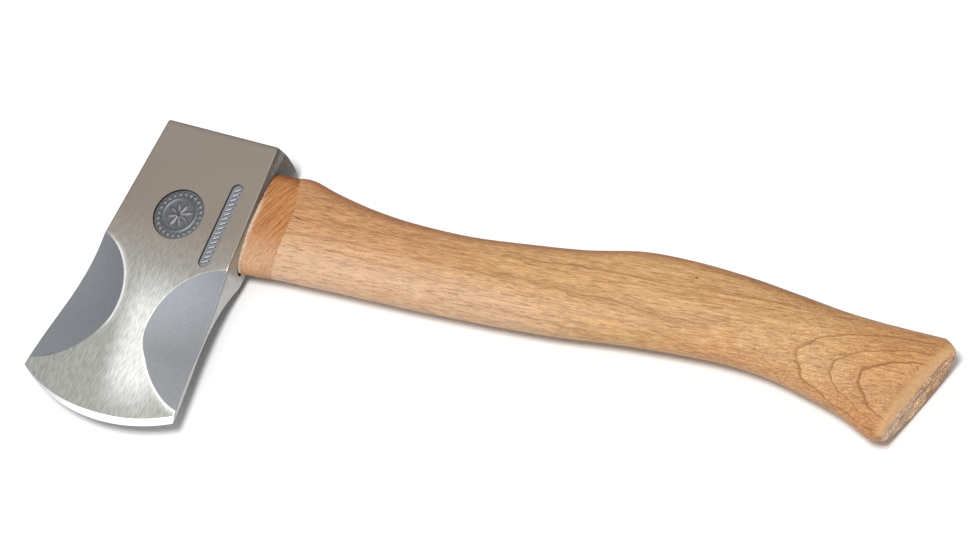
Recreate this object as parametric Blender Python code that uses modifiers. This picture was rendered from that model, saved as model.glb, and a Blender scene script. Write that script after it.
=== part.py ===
"""Hatchet: a forged steel head on a curved hickory handle, held by a wooden and a steel wedge.

The hatchet lies on one cheek. +X runs along the handle to its butt, +Y towards the poll and +Z up
through the thickness. The origin is the centre of the whole hatchet's base.

Every length below is in millimetres, in the head's own frame: x = 0, y = 0 is the corner between the
poll and the underside of the head, and z = 0 is the plane that halves the hatchet. A depth is a
distance from the poll towards the bit, so it is -y.
"""

import math

import bmesh
import bpy
from mathutils import Matrix, Vector

MM = 0.001
GAP = 0.3                    # clearance between two pieces that meet
MERGE_DISTANCE = 0.00001     # metres

# Head: outline
POLL_WIDTH = 55.2
POLL_THICKNESS = 25.0
POLL_CHAMFER = 0.8
BLADE_DEPTH = 60.0           # where the wedge-shaped block ends and the thinner blade begins
TOP_NECK_DEPTH = 56.0
TOP_DRAFT = 0.084            # how fast the top side widens, mm per mm, from the poll to the neck
TOP_FLARE = 9.9
UNDERSIDE_NECK_DEPTH = 62.0
UNDERSIDE_DRAFT = 0.042
UNDERSIDE_FLARE = 5.2
UNDERSIDE_FLARE_POWER = 1.8
BIT_RADIUS = 75.5
BIT_CENTRE = (-26.8, -60.4)
TOE_X = -69.8
HEEL_X = 7.5

# Head: thickness
CHEEK_TAPER = 0.077          # fall of each cheek towards the bit, mm per mm, about 4.4 degrees
GRIND_SHARE = 0.96           # share of the blade's length that is left above the sharpened band
GRIND_HALF_THICKNESS = 1.0
EDGE_HALF_THICKNESS = 0.2
SIDE_BULGE = 0.019           # how far the forged sides swell, per square mm of half thickness
SCOOP_DEPTH = 0.82           # share of the blade's thickness that the scoops take at their deepest
TOP_SCOOP = (-71.5, -86.8, 32.2, 32.0)          # centre x, centre y, half length x, half length y
UNDERSIDE_SCOOP = (8.0, -90.5, 30.0, 31.5)
EDGE_STRIP = 1.5             # least width of the strip between a scoop's rim and the blade's side
SIDE_SEGMENTS = 5
CENTRE_SEGMENTS = 6
BLADE_ROWS = 14
BLOCK_DEPTHS = (15.0, 30.0, 45.0)
WALL_LEVELS = (0.8, 0.45, 0.0)

# Head: eye and stamps
EYE_CENTRE_Y = -32.5
EYE_TAPER = 0.2              # the eye narrows towards the bit
EYE_ROUNDNESS = (3.0, 2.0)   # towards the poll, towards the bit: 2 is an ellipse, more is squarer
EYE_SECTIONS = (             # x, half length, half width: the waist lies a third of the way in
    (-75.0, 22.8, 7.9),
    (-60.0, 22.4, 7.7),
    (-22.0, 21.6, 6.8),
    (3.0, 23.4, 7.5),
    (15.0, 24.2, 7.8),
)
ROUNDEL_CENTRE = (-30.7, -40.9)
ROUNDEL_RADIUS = 11.6
ROUNDEL_INNER_RADIUS = 7.8
PANEL_X = -9.4
PANEL_ENDS = (-23.7, -57.9)
PANEL_RADIUS = 2.75
STAMP_DEPTH = 0.6
ROUNDEL_INNER_DEPTH = 0.9
STAMP_CUTTER_HEIGHT = 4.0

# Handle
RING_POINTS = 32
GRIP_ROUNDNESS = (2.15, 2.15)
TONGUE_PROUD = 0.5           # how far the sawn end of the tongue stands out of the eye
TONGUE_TILT_END_X = -40.0    # the tongue's end follows the head's top side; from here on it is square
SHOULDER_X = 4.3
TONGUE_RING_COUNT = 6
SHOULDER_RINGS = (           # x, y of the upper edge, y of the lower edge, half thickness, taper
    (9.5, -7.7, -54.9, 8.5, 0.13),
    (14.0, -6.8, -54.1, 9.2, 0.08),
)
GRIP_STATIONS = (            # upper edge x, y, lower edge x, y, half thickness
    (20.0, -6.4, 20.0, -53.5, 10.0),
    (32.0, -9.1, 32.0, -52.8, 10.1),
    (50.0, -11.9, 50.0, -51.7, 10.0),
    (70.0, -13.1, 70.0, -50.7, 9.9),
    (95.0, -12.4, 95.0, -49.1, 9.8),
    (120.0, -9.1, 120.0, -47.1, 9.9),
    (145.0, -4.9, 145.0, -44.5, 10.1),
    (168.0, 0.8, 168.0, -40.9, 10.3),
    (190.0, 2.4, 190.0, -38.2, 10.3),
    (214.0, 1.8, 213.0, -36.4, 10.4),
    (236.0, -0.3, 233.0, -37.1, 10.6),
    (257.0, -2.4, 250.0, -40.2, 11.0),
    (278.0, -2.9, 266.0, -44.3, 11.5),
    (298.3, -2.6, 281.2, -50.9, 12.0),
)
GRIP_STEPS = 3
BUTT_CHAMFER = 3.0
BUTT_CHAMFER_SIDE = 2.0

# Wedges
WOOD_WEDGE_PROUD = 0.7
WOOD_WEDGE_DEPTH = 37.0
WOOD_WEDGE_WIDTH = 39.4
WOOD_WEDGE_THICK = 4.2
WOOD_WEDGE_THIN = 1.0
KERF_DEPTH = 39.0
KERF_WIDTH = 60.0
STEEL_WEDGE_PROUD = 0.9
STEEL_WEDGE_DEPTH = 22.0
STEEL_WEDGE_WIDTH = 20.0
STEEL_WEDGE_THICK = 2.4
STEEL_WEDGE_THIN = 0.6
STEEL_WEDGE_Y = -31.0
STEEL_WEDGE_TURN = math.radians(33.0)
SLOT_OVERRUN = 3.0           # how far a slot's cutter reaches out past the end of the tongue


def clear_scene():
    """Remove whatever objects the file holds."""
    for old in list(bpy.data.objects):
        bpy.data.objects.remove(old, do_unlink=True)


def make_collection(name):
    """A new collection in the scene."""
    group = bpy.data.collections.new(name)
    bpy.context.scene.collection.children.link(group)
    return group


def make_material(name, colour, roughness, metallic):
    """A Principled material of one colour."""
    material = bpy.data.materials.new(name)
    material.use_nodes = True
    shader = material.node_tree.nodes["Principled BSDF"]
    shader.inputs["Base Color"].default_value = (*colour, 1.0)
    shader.inputs["Roughness"].default_value = roughness
    shader.inputs["Metallic"].default_value = metallic
    material.diffuse_color = (*colour, 1.0)
    return material


def add_object(name, shape, group, material=None):
    """An object from a bmesh in millimetres, in its collection."""
    bmesh.ops.scale(shape, vec=(MM, MM, MM), verts=shape.verts)
    bmesh.ops.recalc_face_normals(shape, faces=shape.faces)
    mesh = bpy.data.meshes.new(name)
    shape.to_mesh(mesh)
    shape.free()
    if material:
        mesh.materials.append(material)
    piece = bpy.data.objects.new(name, mesh)
    group.objects.link(piece)
    return piece


def make_cutter(piece):
    """Mark an object as a cutter: it shapes other pieces and isn't a piece itself."""
    piece.hide_render = True
    piece.display_type = "WIRE"
    return piece


def cut(piece, cutter):
    """Take a cutter's volume out of a piece."""
    boolean = piece.modifiers.new(cutter.name, "BOOLEAN")
    boolean.operation = "DIFFERENCE"
    boolean.solver = "EXACT"
    boolean.object = cutter


def shade_round(piece, sharpest_degrees):
    """Shade a round piece smooth, and leave its real edges sharp."""
    piece.data.shade_smooth()
    piece.data.set_sharp_from_angle(angle=math.radians(sharpest_degrees))


def mix(start, end, share):
    """The value a share of the way from start to end."""
    return start + (end - start) * share


# ---------------------------------------------------------------------------------------------- head

def bit_y(x):
    """The cutting edge: an arc."""
    centre_x, centre_y = BIT_CENTRE
    return centre_y - math.sqrt(BIT_RADIUS ** 2 - (x - centre_x) ** 2)


def top_side_x(depth):
    """The side of the head where the eye's top is: straight to the neck, then flared to the toe."""
    toe_depth = -bit_y(TOE_X)
    flare = max(0.0, depth - TOP_NECK_DEPTH) / (toe_depth - TOP_NECK_DEPTH)
    return -POLL_WIDTH - TOP_DRAFT * min(depth, TOP_NECK_DEPTH) - TOP_FLARE * flare


def underside_x(depth):
    """The side of the head that faces the grip: straight to the neck, then curved out to the heel."""
    heel_depth = -bit_y(HEEL_X)
    flare = max(0.0, depth - UNDERSIDE_NECK_DEPTH) / (heel_depth - UNDERSIDE_NECK_DEPTH)
    return UNDERSIDE_DRAFT * min(depth, BLADE_DEPTH) + UNDERSIDE_FLARE * flare ** UNDERSIDE_FLARE_POWER


def scoop_weight(scoop, x, y):
    """How deep a scoop is at a point: 1 at its centre, 0 on its rim and beyond."""
    centre_x, centre_y, half_x, half_y = scoop
    return max(0.0, 1.0 - ((x - centre_x) / half_x) ** 2 - ((y - centre_y) / half_y) ** 2)


def scoop_rim_x(scoop, y, side):
    """Where a scoop's rim crosses the line at y; side is +1 where the rim lies at +x of its centre."""
    centre_x, centre_y, half_x, half_y = scoop
    reach = math.sqrt(max(0.0, 1.0 - ((y - centre_y) / half_y) ** 2))
    return centre_x + side * half_x * reach


def half_thickness(x, y, share):
    """Half the head's thickness; share is how far along the blade the point is, 0 on the block."""
    blade_root = POLL_THICKNESS / 2 - CHEEK_TAPER * BLADE_DEPTH
    if share <= 0.0:
        flat = POLL_THICKNESS / 2 + CHEEK_TAPER * y
    elif share <= GRIND_SHARE:
        flat = mix(blade_root, GRIND_HALF_THICKNESS, share / GRIND_SHARE)
    else:
        flat = mix(GRIND_HALF_THICKNESS, EDGE_HALF_THICKNESS, (share - GRIND_SHARE) / (1.0 - GRIND_SHARE))
    scoop = max(scoop_weight(TOP_SCOOP, x, y), scoop_weight(UNDERSIDE_SCOOP, x, y))
    return max(EDGE_HALF_THICKNESS, flat * (1.0 - SCOOP_DEPTH * scoop))


def column_x(column, y):
    """Columns run in three bands: a scoop, the high centre of the blade, and the other scoop."""
    left = top_side_x(-y)
    right = underside_x(-y)
    left_rim = max(left + EDGE_STRIP, scoop_rim_x(TOP_SCOOP, y, 1))
    right_rim = min(right - EDGE_STRIP, scoop_rim_x(UNDERSIDE_SCOOP, y, -1))
    if column <= SIDE_SEGMENTS:
        return mix(left, left_rim, column / SIDE_SEGMENTS)
    if column <= SIDE_SEGMENTS + CENTRE_SEGMENTS:
        return mix(left_rim, right_rim, (column - SIDE_SEGMENTS) / CENTRE_SEGMENTS)
    return mix(right_rim, right, (column - SIDE_SEGMENTS - CENTRE_SEGMENTS) / SIDE_SEGMENTS)


def blade_point(column, share):
    """A point of the blade's upper face. Rows bend gradually from a straight line to the bit's arc."""
    x = column_x(column, -BLADE_DEPTH)
    for _ in range(6):
        y = -BLADE_DEPTH + (bit_y(x) + BLADE_DEPTH) * share
        x = column_x(column, y)
    return Vector((x, y, half_thickness(x, y, share)))


def head_rows():
    """The upper face of the head as rows of points, from the poll to the cutting edge."""
    columns = range(2 * SIDE_SEGMENTS + CENTRE_SEGMENTS + 1)
    rows = []
    for depth in (0.0, POLL_CHAMFER, *BLOCK_DEPTHS):
        inset = POLL_CHAMFER if depth == 0.0 else 0.0
        row = [Vector((column_x(column, -depth), -depth, 0.0)) for column in columns]
        for point in row:
            across = 2.0 * (point.x - row[0].x) / (row[-1].x - row[0].x) - 1.0
            point.z = half_thickness(point.x, point.y, 0.0) - inset
            point.x -= across * inset
        rows.append(row)
    for step in range(BLADE_ROWS + 1):
        rows.append([blade_point(column, GRIND_SHARE * step / BLADE_ROWS) for column in columns])
    rows.append([blade_point(column, 1.0) for column in columns])
    return rows


def wall_point(point, row, level):
    """A point of the head's side, below a point of the upper face's outline, at a share of its height."""
    across = 2.0 * (point.x - row[0].x) / (row[-1].x - row[0].x) - 1.0
    bulge = SIDE_BULGE * point.z ** 2 * (1.0 - level ** 3) * across
    return Vector((point.x + bulge, point.y, point.z * level))


def build_half_head():
    """The upper half of the head, open at the middle plane."""
    shape = bmesh.new()
    rows = head_rows()
    last = len(rows[0]) - 1
    grid = [[shape.verts.new(point) for point in row] for row in rows]
    for upper, lower in zip(grid, grid[1:]):
        for column in range(last):
            shape.faces.new((upper[column], upper[column + 1], lower[column + 1], lower[column]))

    outline = [(0, column) for column in range(last + 1)]
    outline += [(row, last) for row in range(1, len(rows))]
    outline += [(len(rows) - 1, column) for column in range(last - 1, -1, -1)]
    outline += [(row, 0) for row in range(len(rows) - 2, 0, -1)]
    above = [grid[row][column] for row, column in outline]
    for level in WALL_LEVELS:
        below = [
            shape.verts.new(wall_point(rows[row][column], rows[row], level)) for row, column in outline
        ]
        for index in range(len(outline)):
            after = (index + 1) % len(outline)
            shape.faces.new((above[index], above[after], below[after], below[index]))
        above = below
    return shape


def add_mirror(piece):
    """Mirror a half that is open at z = 0."""
    mirror = piece.modifiers.new("mirror", "MIRROR")
    mirror.use_axis = (False, False, True)
    mirror.use_clip = True
    mirror.merge_threshold = MERGE_DISTANCE


def on_upper_cheek(x, y):
    """The frame of the upper cheek at a point: its z axis stands square to the tapered cheek."""
    height = POLL_THICKNESS / 2 + CHEEK_TAPER * y
    tilt = Matrix.Rotation(math.atan(CHEEK_TAPER), 4, "X")
    return Matrix.Translation((x, y, height)) @ tilt


def build_disc_cutter(name, group, radius, depth, segments):
    """A disc that cuts a round stamp to a depth below the upper cheek."""
    height = depth + STAMP_CUTTER_HEIGHT
    lift = Matrix.Translation((0.0, 0.0, height / 2 - depth))
    shape = bmesh.new()
    bmesh.ops.create_cone(
        shape, cap_ends=True, segments=segments, radius1=radius, radius2=radius, depth=height,
        matrix=on_upper_cheek(*ROUNDEL_CENTRE) @ lift,
    )
    return make_cutter(add_object(name, shape, group))


def build_panel_cutter(group):
    """The pill-shaped stamp beside the handle: a flat outline, extruded square to the cheek."""
    half_length = (PANEL_ENDS[0] - PANEL_ENDS[1]) / 2
    middle = (PANEL_ENDS[0] + PANEL_ENDS[1]) / 2
    segments = 8
    shape = bmesh.new()
    outline = []
    for end in (1, -1):
        for step in range(segments + 1):
            angle = math.pi * step / segments + (0.0 if end == 1 else math.pi)
            outline.append((
                PANEL_RADIUS * math.cos(angle),
                end * half_length + PANEL_RADIUS * math.sin(angle),
                -STAMP_DEPTH,
            ))
    face = shape.faces.new([shape.verts.new(point) for point in outline])
    lifted = bmesh.ops.extrude_face_region(shape, geom=[face])["geom"]
    lifted_verts = [part for part in lifted if isinstance(part, bmesh.types.BMVert)]
    bmesh.ops.translate(shape, vec=(0.0, 0.0, STAMP_CUTTER_HEIGHT), verts=lifted_verts)
    bmesh.ops.transform(shape, matrix=on_upper_cheek(PANEL_X, middle), verts=shape.verts)
    return make_cutter(add_object("panel_cutter", shape, group))


# ------------------------------------------------------------------------------------ lofts of rings

def ring(upper, lower, half_width, taper, roundness):
    """A closed oval between an upper and a lower edge point; taper narrows it towards the lower edge."""
    centre = (upper + lower) / 2
    reach = (upper - lower) / 2
    points = []
    for index in range(RING_POINTS):
        angle = 2.0 * math.pi * index / RING_POINTS
        power = 2.0 / (roundness[0] if math.cos(angle) > 0.0 else roundness[1])
        along = math.copysign(abs(math.cos(angle)) ** power, math.cos(angle))
        across = math.copysign(abs(math.sin(angle)) ** power, math.sin(angle))
        side = Vector((0.0, 0.0, half_width * across * (1.0 + taper * along)))
        points.append(centre + reach * along + side)
    return points


def upright_ring(x, upper_y, lower_y, half_width, taper, roundness):
    """A ring whose plane is square to the handle's length."""
    return ring(Vector((x, upper_y, 0.0)), Vector((x, lower_y, 0.0)), half_width, taper, roundness)


def loft(rings):
    """A closed body through a row of rings, with flat ends."""
    shape = bmesh.new()
    loops = [[shape.verts.new(point) for point in points] for points in rings]
    for near, far in zip(loops, loops[1:]):
        for index in range(RING_POINTS):
            after = (index + 1) % RING_POINTS
            shape.faces.new((near[index], near[after], far[after], far[index]))
    shape.faces.new(loops[0])
    shape.faces.new(reversed(loops[-1]))
    return shape


def eye_ring(x, clearance, slope=0.0):
    """The eye's section at x, smaller all round by the clearance; slope tilts it, mm of x per mm of y."""
    sections = zip(EYE_SECTIONS, EYE_SECTIONS[1:])
    start, end = next((a, b) for a, b in sections if x <= b[0])
    share = (x - start[0]) / (end[0] - start[0])
    half_length = mix(start[1], end[1], share) - clearance
    half_width = mix(start[2], end[2], share) - clearance
    middle = Vector((x, EYE_CENTRE_Y, 0.0))
    reach = Vector((slope * half_length, half_length, 0.0))
    return ring(middle + reach, middle - reach, half_width, EYE_TAPER, EYE_ROUNDNESS)


def build_eye_cutter(group):
    """The eye goes right through the head and is waisted, so that the wedged tongue can't pull out."""
    rings = [eye_ring(section[0], 0.0) for section in EYE_SECTIONS]
    return make_cutter(add_object("eye_cutter", loft(rings), group))


def build_head(group, cutters, material):
    """The forged head with its eye and stamps."""
    head = add_object("axe_head", build_half_head(), group, material)
    add_mirror(head)
    stamps = (
        build_panel_cutter(cutters),
        build_disc_cutter("roundel_cutter", cutters, ROUNDEL_RADIUS, STAMP_DEPTH, 40),
        build_disc_cutter("roundel_inner_cutter", cutters, ROUNDEL_INNER_RADIUS, ROUNDEL_INNER_DEPTH, 32),
    )
    for cutter in (build_eye_cutter(cutters), *stamps):
        cut(head, cutter)
    shade_round(head, 20.0)
    return head


# -------------------------------------------------------------------------------------------- handle

def smooth_between(stations, index, share):
    """A Catmull-Rom value, number by number, between one station and the next."""
    before = stations[max(index - 1, 0)]
    start, end = stations[index], stations[index + 1]
    after = stations[min(index + 2, len(stations) - 1)]
    return [
        0.5 * (2.0 * q + (r - p) * share + (2.0 * p - 5.0 * q + 4.0 * r - s) * share ** 2
               + (3.0 * q - p - 3.0 * r + s) * share ** 3)
        for p, q, r, s in zip(before, start, end, after)
    ]


def grip_ring(station):
    """The oval section of the grip at a station."""
    upper_x, upper_y, lower_x, lower_y, half_width = station
    return ring(
        Vector((upper_x, upper_y, 0.0)), Vector((lower_x, lower_y, 0.0)), half_width, 0.0, GRIP_ROUNDNESS
    )


def butt_ring():
    """The rim of the sawn end: the last station, moved out and drawn in by the chamfer."""
    upper_x, upper_y, lower_x, lower_y, half_width = GRIP_STATIONS[-1]
    upper = Vector((upper_x, upper_y, 0.0))
    lower = Vector((lower_x, lower_y, 0.0))
    along = (upper - lower).normalized()
    outward = Vector((along.y, -along.x, 0.0)) * BUTT_CHAMFER
    inward = along * BUTT_CHAMFER
    upper += outward - inward
    lower += outward + inward
    return ring(upper, lower, half_width - BUTT_CHAMFER_SIDE, 0.0, GRIP_ROUNDNESS)


def handle_rings():
    """Every section of the handle, from the end of the tongue to the butt."""
    tongue_end_x = top_side_x(-EYE_CENTRE_Y) - TONGUE_PROUD
    rings = [eye_ring(tongue_end_x, GAP, TOP_DRAFT)]
    for step in range(TONGUE_RING_COUNT):
        x = mix(TONGUE_TILT_END_X, SHOULDER_X, step / (TONGUE_RING_COUNT - 1))
        rings.append(eye_ring(x, GAP))
    for x, upper_y, lower_y, half_width, taper in SHOULDER_RINGS:
        rings.append(upright_ring(x, upper_y, lower_y, half_width, taper, EYE_ROUNDNESS))
    for index in range(len(GRIP_STATIONS) - 1):
        for step in range(GRIP_STEPS):
            rings.append(grip_ring(smooth_between(GRIP_STATIONS, index, step / GRIP_STEPS)))
    rings.append(grip_ring(GRIP_STATIONS[-1]))
    rings.append(butt_ring())
    return rings


def build_handle(group, material, kerf, slot):
    """The handle, with its tongue sawn down the middle for the wedge."""
    handle = add_object("handle", loft(handle_rings()), group, material)
    cut(handle, kerf)
    cut(handle, slot)
    shade_round(handle, 35.0)
    return handle


# -------------------------------------------------------------------------------------------- wedges

def tapered_block(start_x, length, width, thick, thin):
    """A block that thins from its start along +x, centred on y = 0 and z = 0."""
    shape = bmesh.new()
    bmesh.ops.create_cube(shape, size=1.0)
    for vert in shape.verts:
        thickness = thick if vert.co.x < 0.0 else thin
        vert.co = Vector((
            start_x + (vert.co.x + 0.5) * length,
            vert.co.y * width,
            vert.co.z * thickness,
        ))
    return shape


def slot_shape(depth, width, slope, thick):
    """A slot for a wedge: the wedge's own taper, carried past the end of the tongue, plus the gap."""
    wide = thick + slope * SLOT_OVERRUN + 2.0 * GAP
    narrow = thick - slope * depth + 2.0 * GAP
    return tapered_block(-SLOT_OVERRUN, depth + SLOT_OVERRUN, width, wide, narrow)


def set_in_eye(shape, y, proud, turn=0.0):
    """Turn a wedge about its length, lean its thick end along the eye's top at y and stand it proud."""
    lean = Matrix((
        (1.0, TOP_DRAFT, 0.0, top_side_x(-y) - proud),
        (0.0, 1.0, 0.0, y),
        (0.0, 0.0, 1.0, 0.0),
        (0.0, 0.0, 0.0, 1.0),
    ))
    bmesh.ops.transform(shape, matrix=lean @ Matrix.Rotation(turn, 4, "X"), verts=shape.verts)
    return shape


def build_kerf_cutter(group):
    """The saw cut down the tongue, open at both edges of the tongue."""
    slope = (WOOD_WEDGE_THICK - WOOD_WEDGE_THIN) / WOOD_WEDGE_DEPTH
    shape = slot_shape(KERF_DEPTH, KERF_WIDTH, slope, WOOD_WEDGE_THICK)
    set_in_eye(shape, EYE_CENTRE_Y, WOOD_WEDGE_PROUD)
    return make_cutter(add_object("kerf_cutter", shape, group))


def build_steel_slot_cutter(group):
    """The split that the steel wedge makes in the tongue and in the wooden wedge."""
    slope = (STEEL_WEDGE_THICK - STEEL_WEDGE_THIN) / STEEL_WEDGE_DEPTH
    shape = slot_shape(
        STEEL_WEDGE_DEPTH + GAP, STEEL_WEDGE_WIDTH + 2.0 * GAP, slope, STEEL_WEDGE_THICK
    )
    set_in_eye(shape, STEEL_WEDGE_Y, STEEL_WEDGE_PROUD, STEEL_WEDGE_TURN)
    return make_cutter(add_object("steel_slot_cutter", shape, group))


def build_wood_wedge(group, material, slot):
    """The hardwood wedge that spreads the tongue in the eye."""
    shape = tapered_block(0.0, WOOD_WEDGE_DEPTH, WOOD_WEDGE_WIDTH, WOOD_WEDGE_THICK, WOOD_WEDGE_THIN)
    set_in_eye(shape, EYE_CENTRE_Y, WOOD_WEDGE_PROUD)
    wedge = add_object("wood_wedge", shape, group, material)
    cut(wedge, slot)
    return wedge


def build_steel_wedge(group, material):
    """The steel wedge driven across the wooden one."""
    shape = tapered_block(
        0.0, STEEL_WEDGE_DEPTH, STEEL_WEDGE_WIDTH, STEEL_WEDGE_THICK, STEEL_WEDGE_THIN
    )
    set_in_eye(shape, STEEL_WEDGE_Y, STEEL_WEDGE_PROUD, STEEL_WEDGE_TURN)
    return add_object("steel_wedge", shape, group, material)


# ------------------------------------------------------------------------------------------ assembly

def centre_on_base(pieces, cutters):
    """Hang everything from one empty, and move it so that the origin is the centre of the base."""
    frame = bpy.data.objects.new("hatchet_frame", None)
    bpy.context.scene.collection.objects.link(frame)
    for child in (*pieces, *cutters):
        child.parent = frame
    bpy.context.view_layer.update()
    graph = bpy.context.evaluated_depsgraph_get()
    corners = []
    for piece in pieces:
        solid = piece.evaluated_get(graph)
        corners += [piece.matrix_world @ vert.co for vert in solid.data.vertices]
    low = [min(corner[axis] for corner in corners) for axis in range(3)]
    high = [max(corner[axis] for corner in corners) for axis in range(3)]
    frame.location = (-(low[0] + high[0]) / 2, -(low[1] + high[1]) / 2, -low[2])


def main():
    """Build the hatchet."""
    clear_scene()
    parts = make_collection("hatchet")
    cutters = make_collection("cutters")
    steel = make_material("head_steel", (0.56, 0.53, 0.50), 0.35, 0.9)
    hickory = make_material("hickory", (0.66, 0.40, 0.21), 0.55, 0.0)
    pale_wood = make_material("wedge_wood", (0.74, 0.57, 0.36), 0.65, 0.0)
    dark_steel = make_material("wedge_steel", (0.33, 0.33, 0.34), 0.45, 0.9)

    kerf = build_kerf_cutter(cutters)
    slot = build_steel_slot_cutter(cutters)
    pieces = [
        build_head(parts, cutters, steel),
        build_handle(parts, hickory, kerf, slot),
        build_wood_wedge(parts, pale_wood, slot),
        build_steel_wedge(parts, dark_steel),
    ]
    centre_on_base(pieces, list(cutters.objects))


main()
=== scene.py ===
"""The hatchet's looks: fine meshes, finishes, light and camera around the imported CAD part.

Every length below is in millimetres in the head's own frame: x = 0, y = 0 is the corner between the poll
and the underside of the head, and z = 0 is the plane that halves the hatchet. +X runs along the handle
to its butt and +Y towards the poll. Every object sits at that corner, so its Object coordinates are the
same frame in metres.
"""

import math
import random

import bmesh
import bpy
from mathutils import Matrix, Vector, noise


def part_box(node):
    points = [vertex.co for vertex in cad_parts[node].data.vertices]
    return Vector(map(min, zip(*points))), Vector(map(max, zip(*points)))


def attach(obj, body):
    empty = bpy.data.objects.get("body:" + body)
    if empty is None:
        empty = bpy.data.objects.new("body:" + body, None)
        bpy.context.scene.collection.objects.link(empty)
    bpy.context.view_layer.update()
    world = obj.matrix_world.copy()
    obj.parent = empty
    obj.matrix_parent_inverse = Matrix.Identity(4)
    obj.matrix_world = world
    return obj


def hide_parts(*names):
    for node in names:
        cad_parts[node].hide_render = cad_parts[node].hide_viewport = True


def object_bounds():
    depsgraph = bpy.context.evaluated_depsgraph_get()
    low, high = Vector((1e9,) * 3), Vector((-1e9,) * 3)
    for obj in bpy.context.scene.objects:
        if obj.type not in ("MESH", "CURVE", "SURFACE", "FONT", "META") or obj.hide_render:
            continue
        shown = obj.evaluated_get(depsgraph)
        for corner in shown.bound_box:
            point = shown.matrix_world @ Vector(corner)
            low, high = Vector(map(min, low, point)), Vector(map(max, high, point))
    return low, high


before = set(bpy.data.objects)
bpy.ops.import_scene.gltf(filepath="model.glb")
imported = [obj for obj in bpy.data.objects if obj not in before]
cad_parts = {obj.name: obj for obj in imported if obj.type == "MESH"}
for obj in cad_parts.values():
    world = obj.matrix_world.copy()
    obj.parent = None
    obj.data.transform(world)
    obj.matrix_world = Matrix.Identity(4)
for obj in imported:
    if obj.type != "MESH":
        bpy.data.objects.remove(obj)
cad_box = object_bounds()

MM = 0.001

# Head: outline, as in the CAD part
POLL_WIDTH = 55.2
POLL_THICKNESS = 25.0
BLADE_DEPTH = 60.0
TOP_NECK_DEPTH = 56.0
TOP_DRAFT = 0.084
TOP_FLARE = 9.88
UNDERSIDE_NECK_DEPTH = 62.0
UNDERSIDE_DRAFT = 0.042
UNDERSIDE_FLARE = 5.2
UNDERSIDE_FLARE_POWER = 1.8
BIT_RADIUS = 75.37
BIT_CENTRE = (-26.8, -60.38)
TOE_X = -69.8043
HEEL_X = 7.5

# Head: thickness
CHEEK_TAPER = 0.077
BAND_HALF_THICKNESS = 1.0    # half the blade's thickness where the sharpened band begins, at the heel
BAND_WIDTH = 2.9
BAND_TOE_WIDTH = 0.15
BAND_EASING = (0.85, 0.08)   # slope and start of the band's widening, as shares of the way from the toe
BAND_FULL_X = -25.0          # the band widens from the toe to its full width here
EDGE_HALF_THICKNESS = 0.06
CROWN = 0.35                 # how far the middle of the blade stands above a flat taper
CROWN_HALF_WIDTH = 45.0
SIDE_BULGE = 0.019
SCOOP_DEPTH = 0.82
TOP_SCOOP = (-71.5, -86.8, 32.2, 32.0, 1.8)     # centre, half lengths, power of the rim's lower half
UNDERSIDE_SCOOP = (8.0, -90.5, 30.0, 32.0, 1.6)
EDGE_STRIP = 1.2
EDGE_ROUND = 0.55            # rounding of the edges between the cheeks and the sides
POLL_ROUND = 0.82
SIDE_COLUMNS = 26
CENTRE_COLUMNS = 34
BLOCK_ROWS = 30
BLADE_ROWS = 84
BAND_ROWS = 4
ROUND_STEPS = 4
WALL_STEPS = 7
SETTLING_PASSES = 8          # how often a point of the blade is brought back onto its column and row
POLL_FACE_INSET = 0.5
SIDE_NORMAL_Z = 0.6          # faces steeper than this belong to the sides and the poll
SIDE_SLOT = 1                # the material slot of those faces
SHARPEST_HEAD_ANGLE = 24.0
SHARPEST_WOOD_ANGLE = 32.0
SHARPEST_WEDGE_ANGLE = 30.0

# Eye and stamps
EYE_CENTRE_Y = -32.5
EYE_TAPER = 0.2
EYE_ROUNDNESS = (3.0, 2.0)
EYE_SECTIONS = (             # x, half length, half width
    (-75.0, 22.8, 7.9),
    (-60.0, 22.4, 7.7),
    (-22.0, 21.6, 6.8),
    (3.0, 23.4, 7.5),
    (15.0, 24.2, 7.8),
)
ROUNDEL_CENTRE = (-30.7, -40.9)
ROUNDEL_RADIUS = 11.6
ROUNDEL_INNER_RADIUS = 7.8
PANEL_X = -9.4
PANEL_ENDS = (-23.7, -57.9)
PANEL_RADIUS = 2.75
PANEL_STEPS = 20
STAMP_DEPTH = 0.6
STAMP_WALL = (               # offset from a stamp's outline, and height above the cheek, from the foot up
    (-0.28, -STAMP_DEPTH),
    (-0.12, -0.45),
    (0.0, -0.16),
    (0.14, 0.0),
    (0.3, 1.5),
)
ROUNDEL_SPOKES = 192
ROUNDEL_STEP = 0.55
ROUNDEL_STEPS = 19
ROUNDEL_RIM_INSETS = (0.85, 0.5)
RING_RELIEF = (0.38, 0.30)   # half width, height
BEAD_COUNT = 24
BEAD_RELIEF = (0.62, 0.28)   # radius, height
BEAD_MARGINS = (0.9, 0.7)    # clear of the ring, clear of the edge
BEAD_SHIFT = 0.1
BEAD_FLANK = 1.6             # a bead's foot, in radii from its middle
STAR_POINTS = 8
STAR_RELIEF = (6.3, 3.6, 0.34, 0.55)      # reach, how much less between points, height, fall aside
STAR_FLANK = 0.9
BOSS_RELIEF = (1.7, 0.12)    # radius, height
BOSS_FLANK = 0.5
BAR_COUNT = 16
BAR_TURN = math.radians(32.0)
BAR_RADIUS = 0.52
BAR_HALF_LENGTH = 1.35
BAR_STEPS = 6
BAR_LEVELS = ((-0.1, 1.0), (0.2, 0.95), (0.34, 0.75), (0.4, 0.4))    # height and share of the radius

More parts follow.
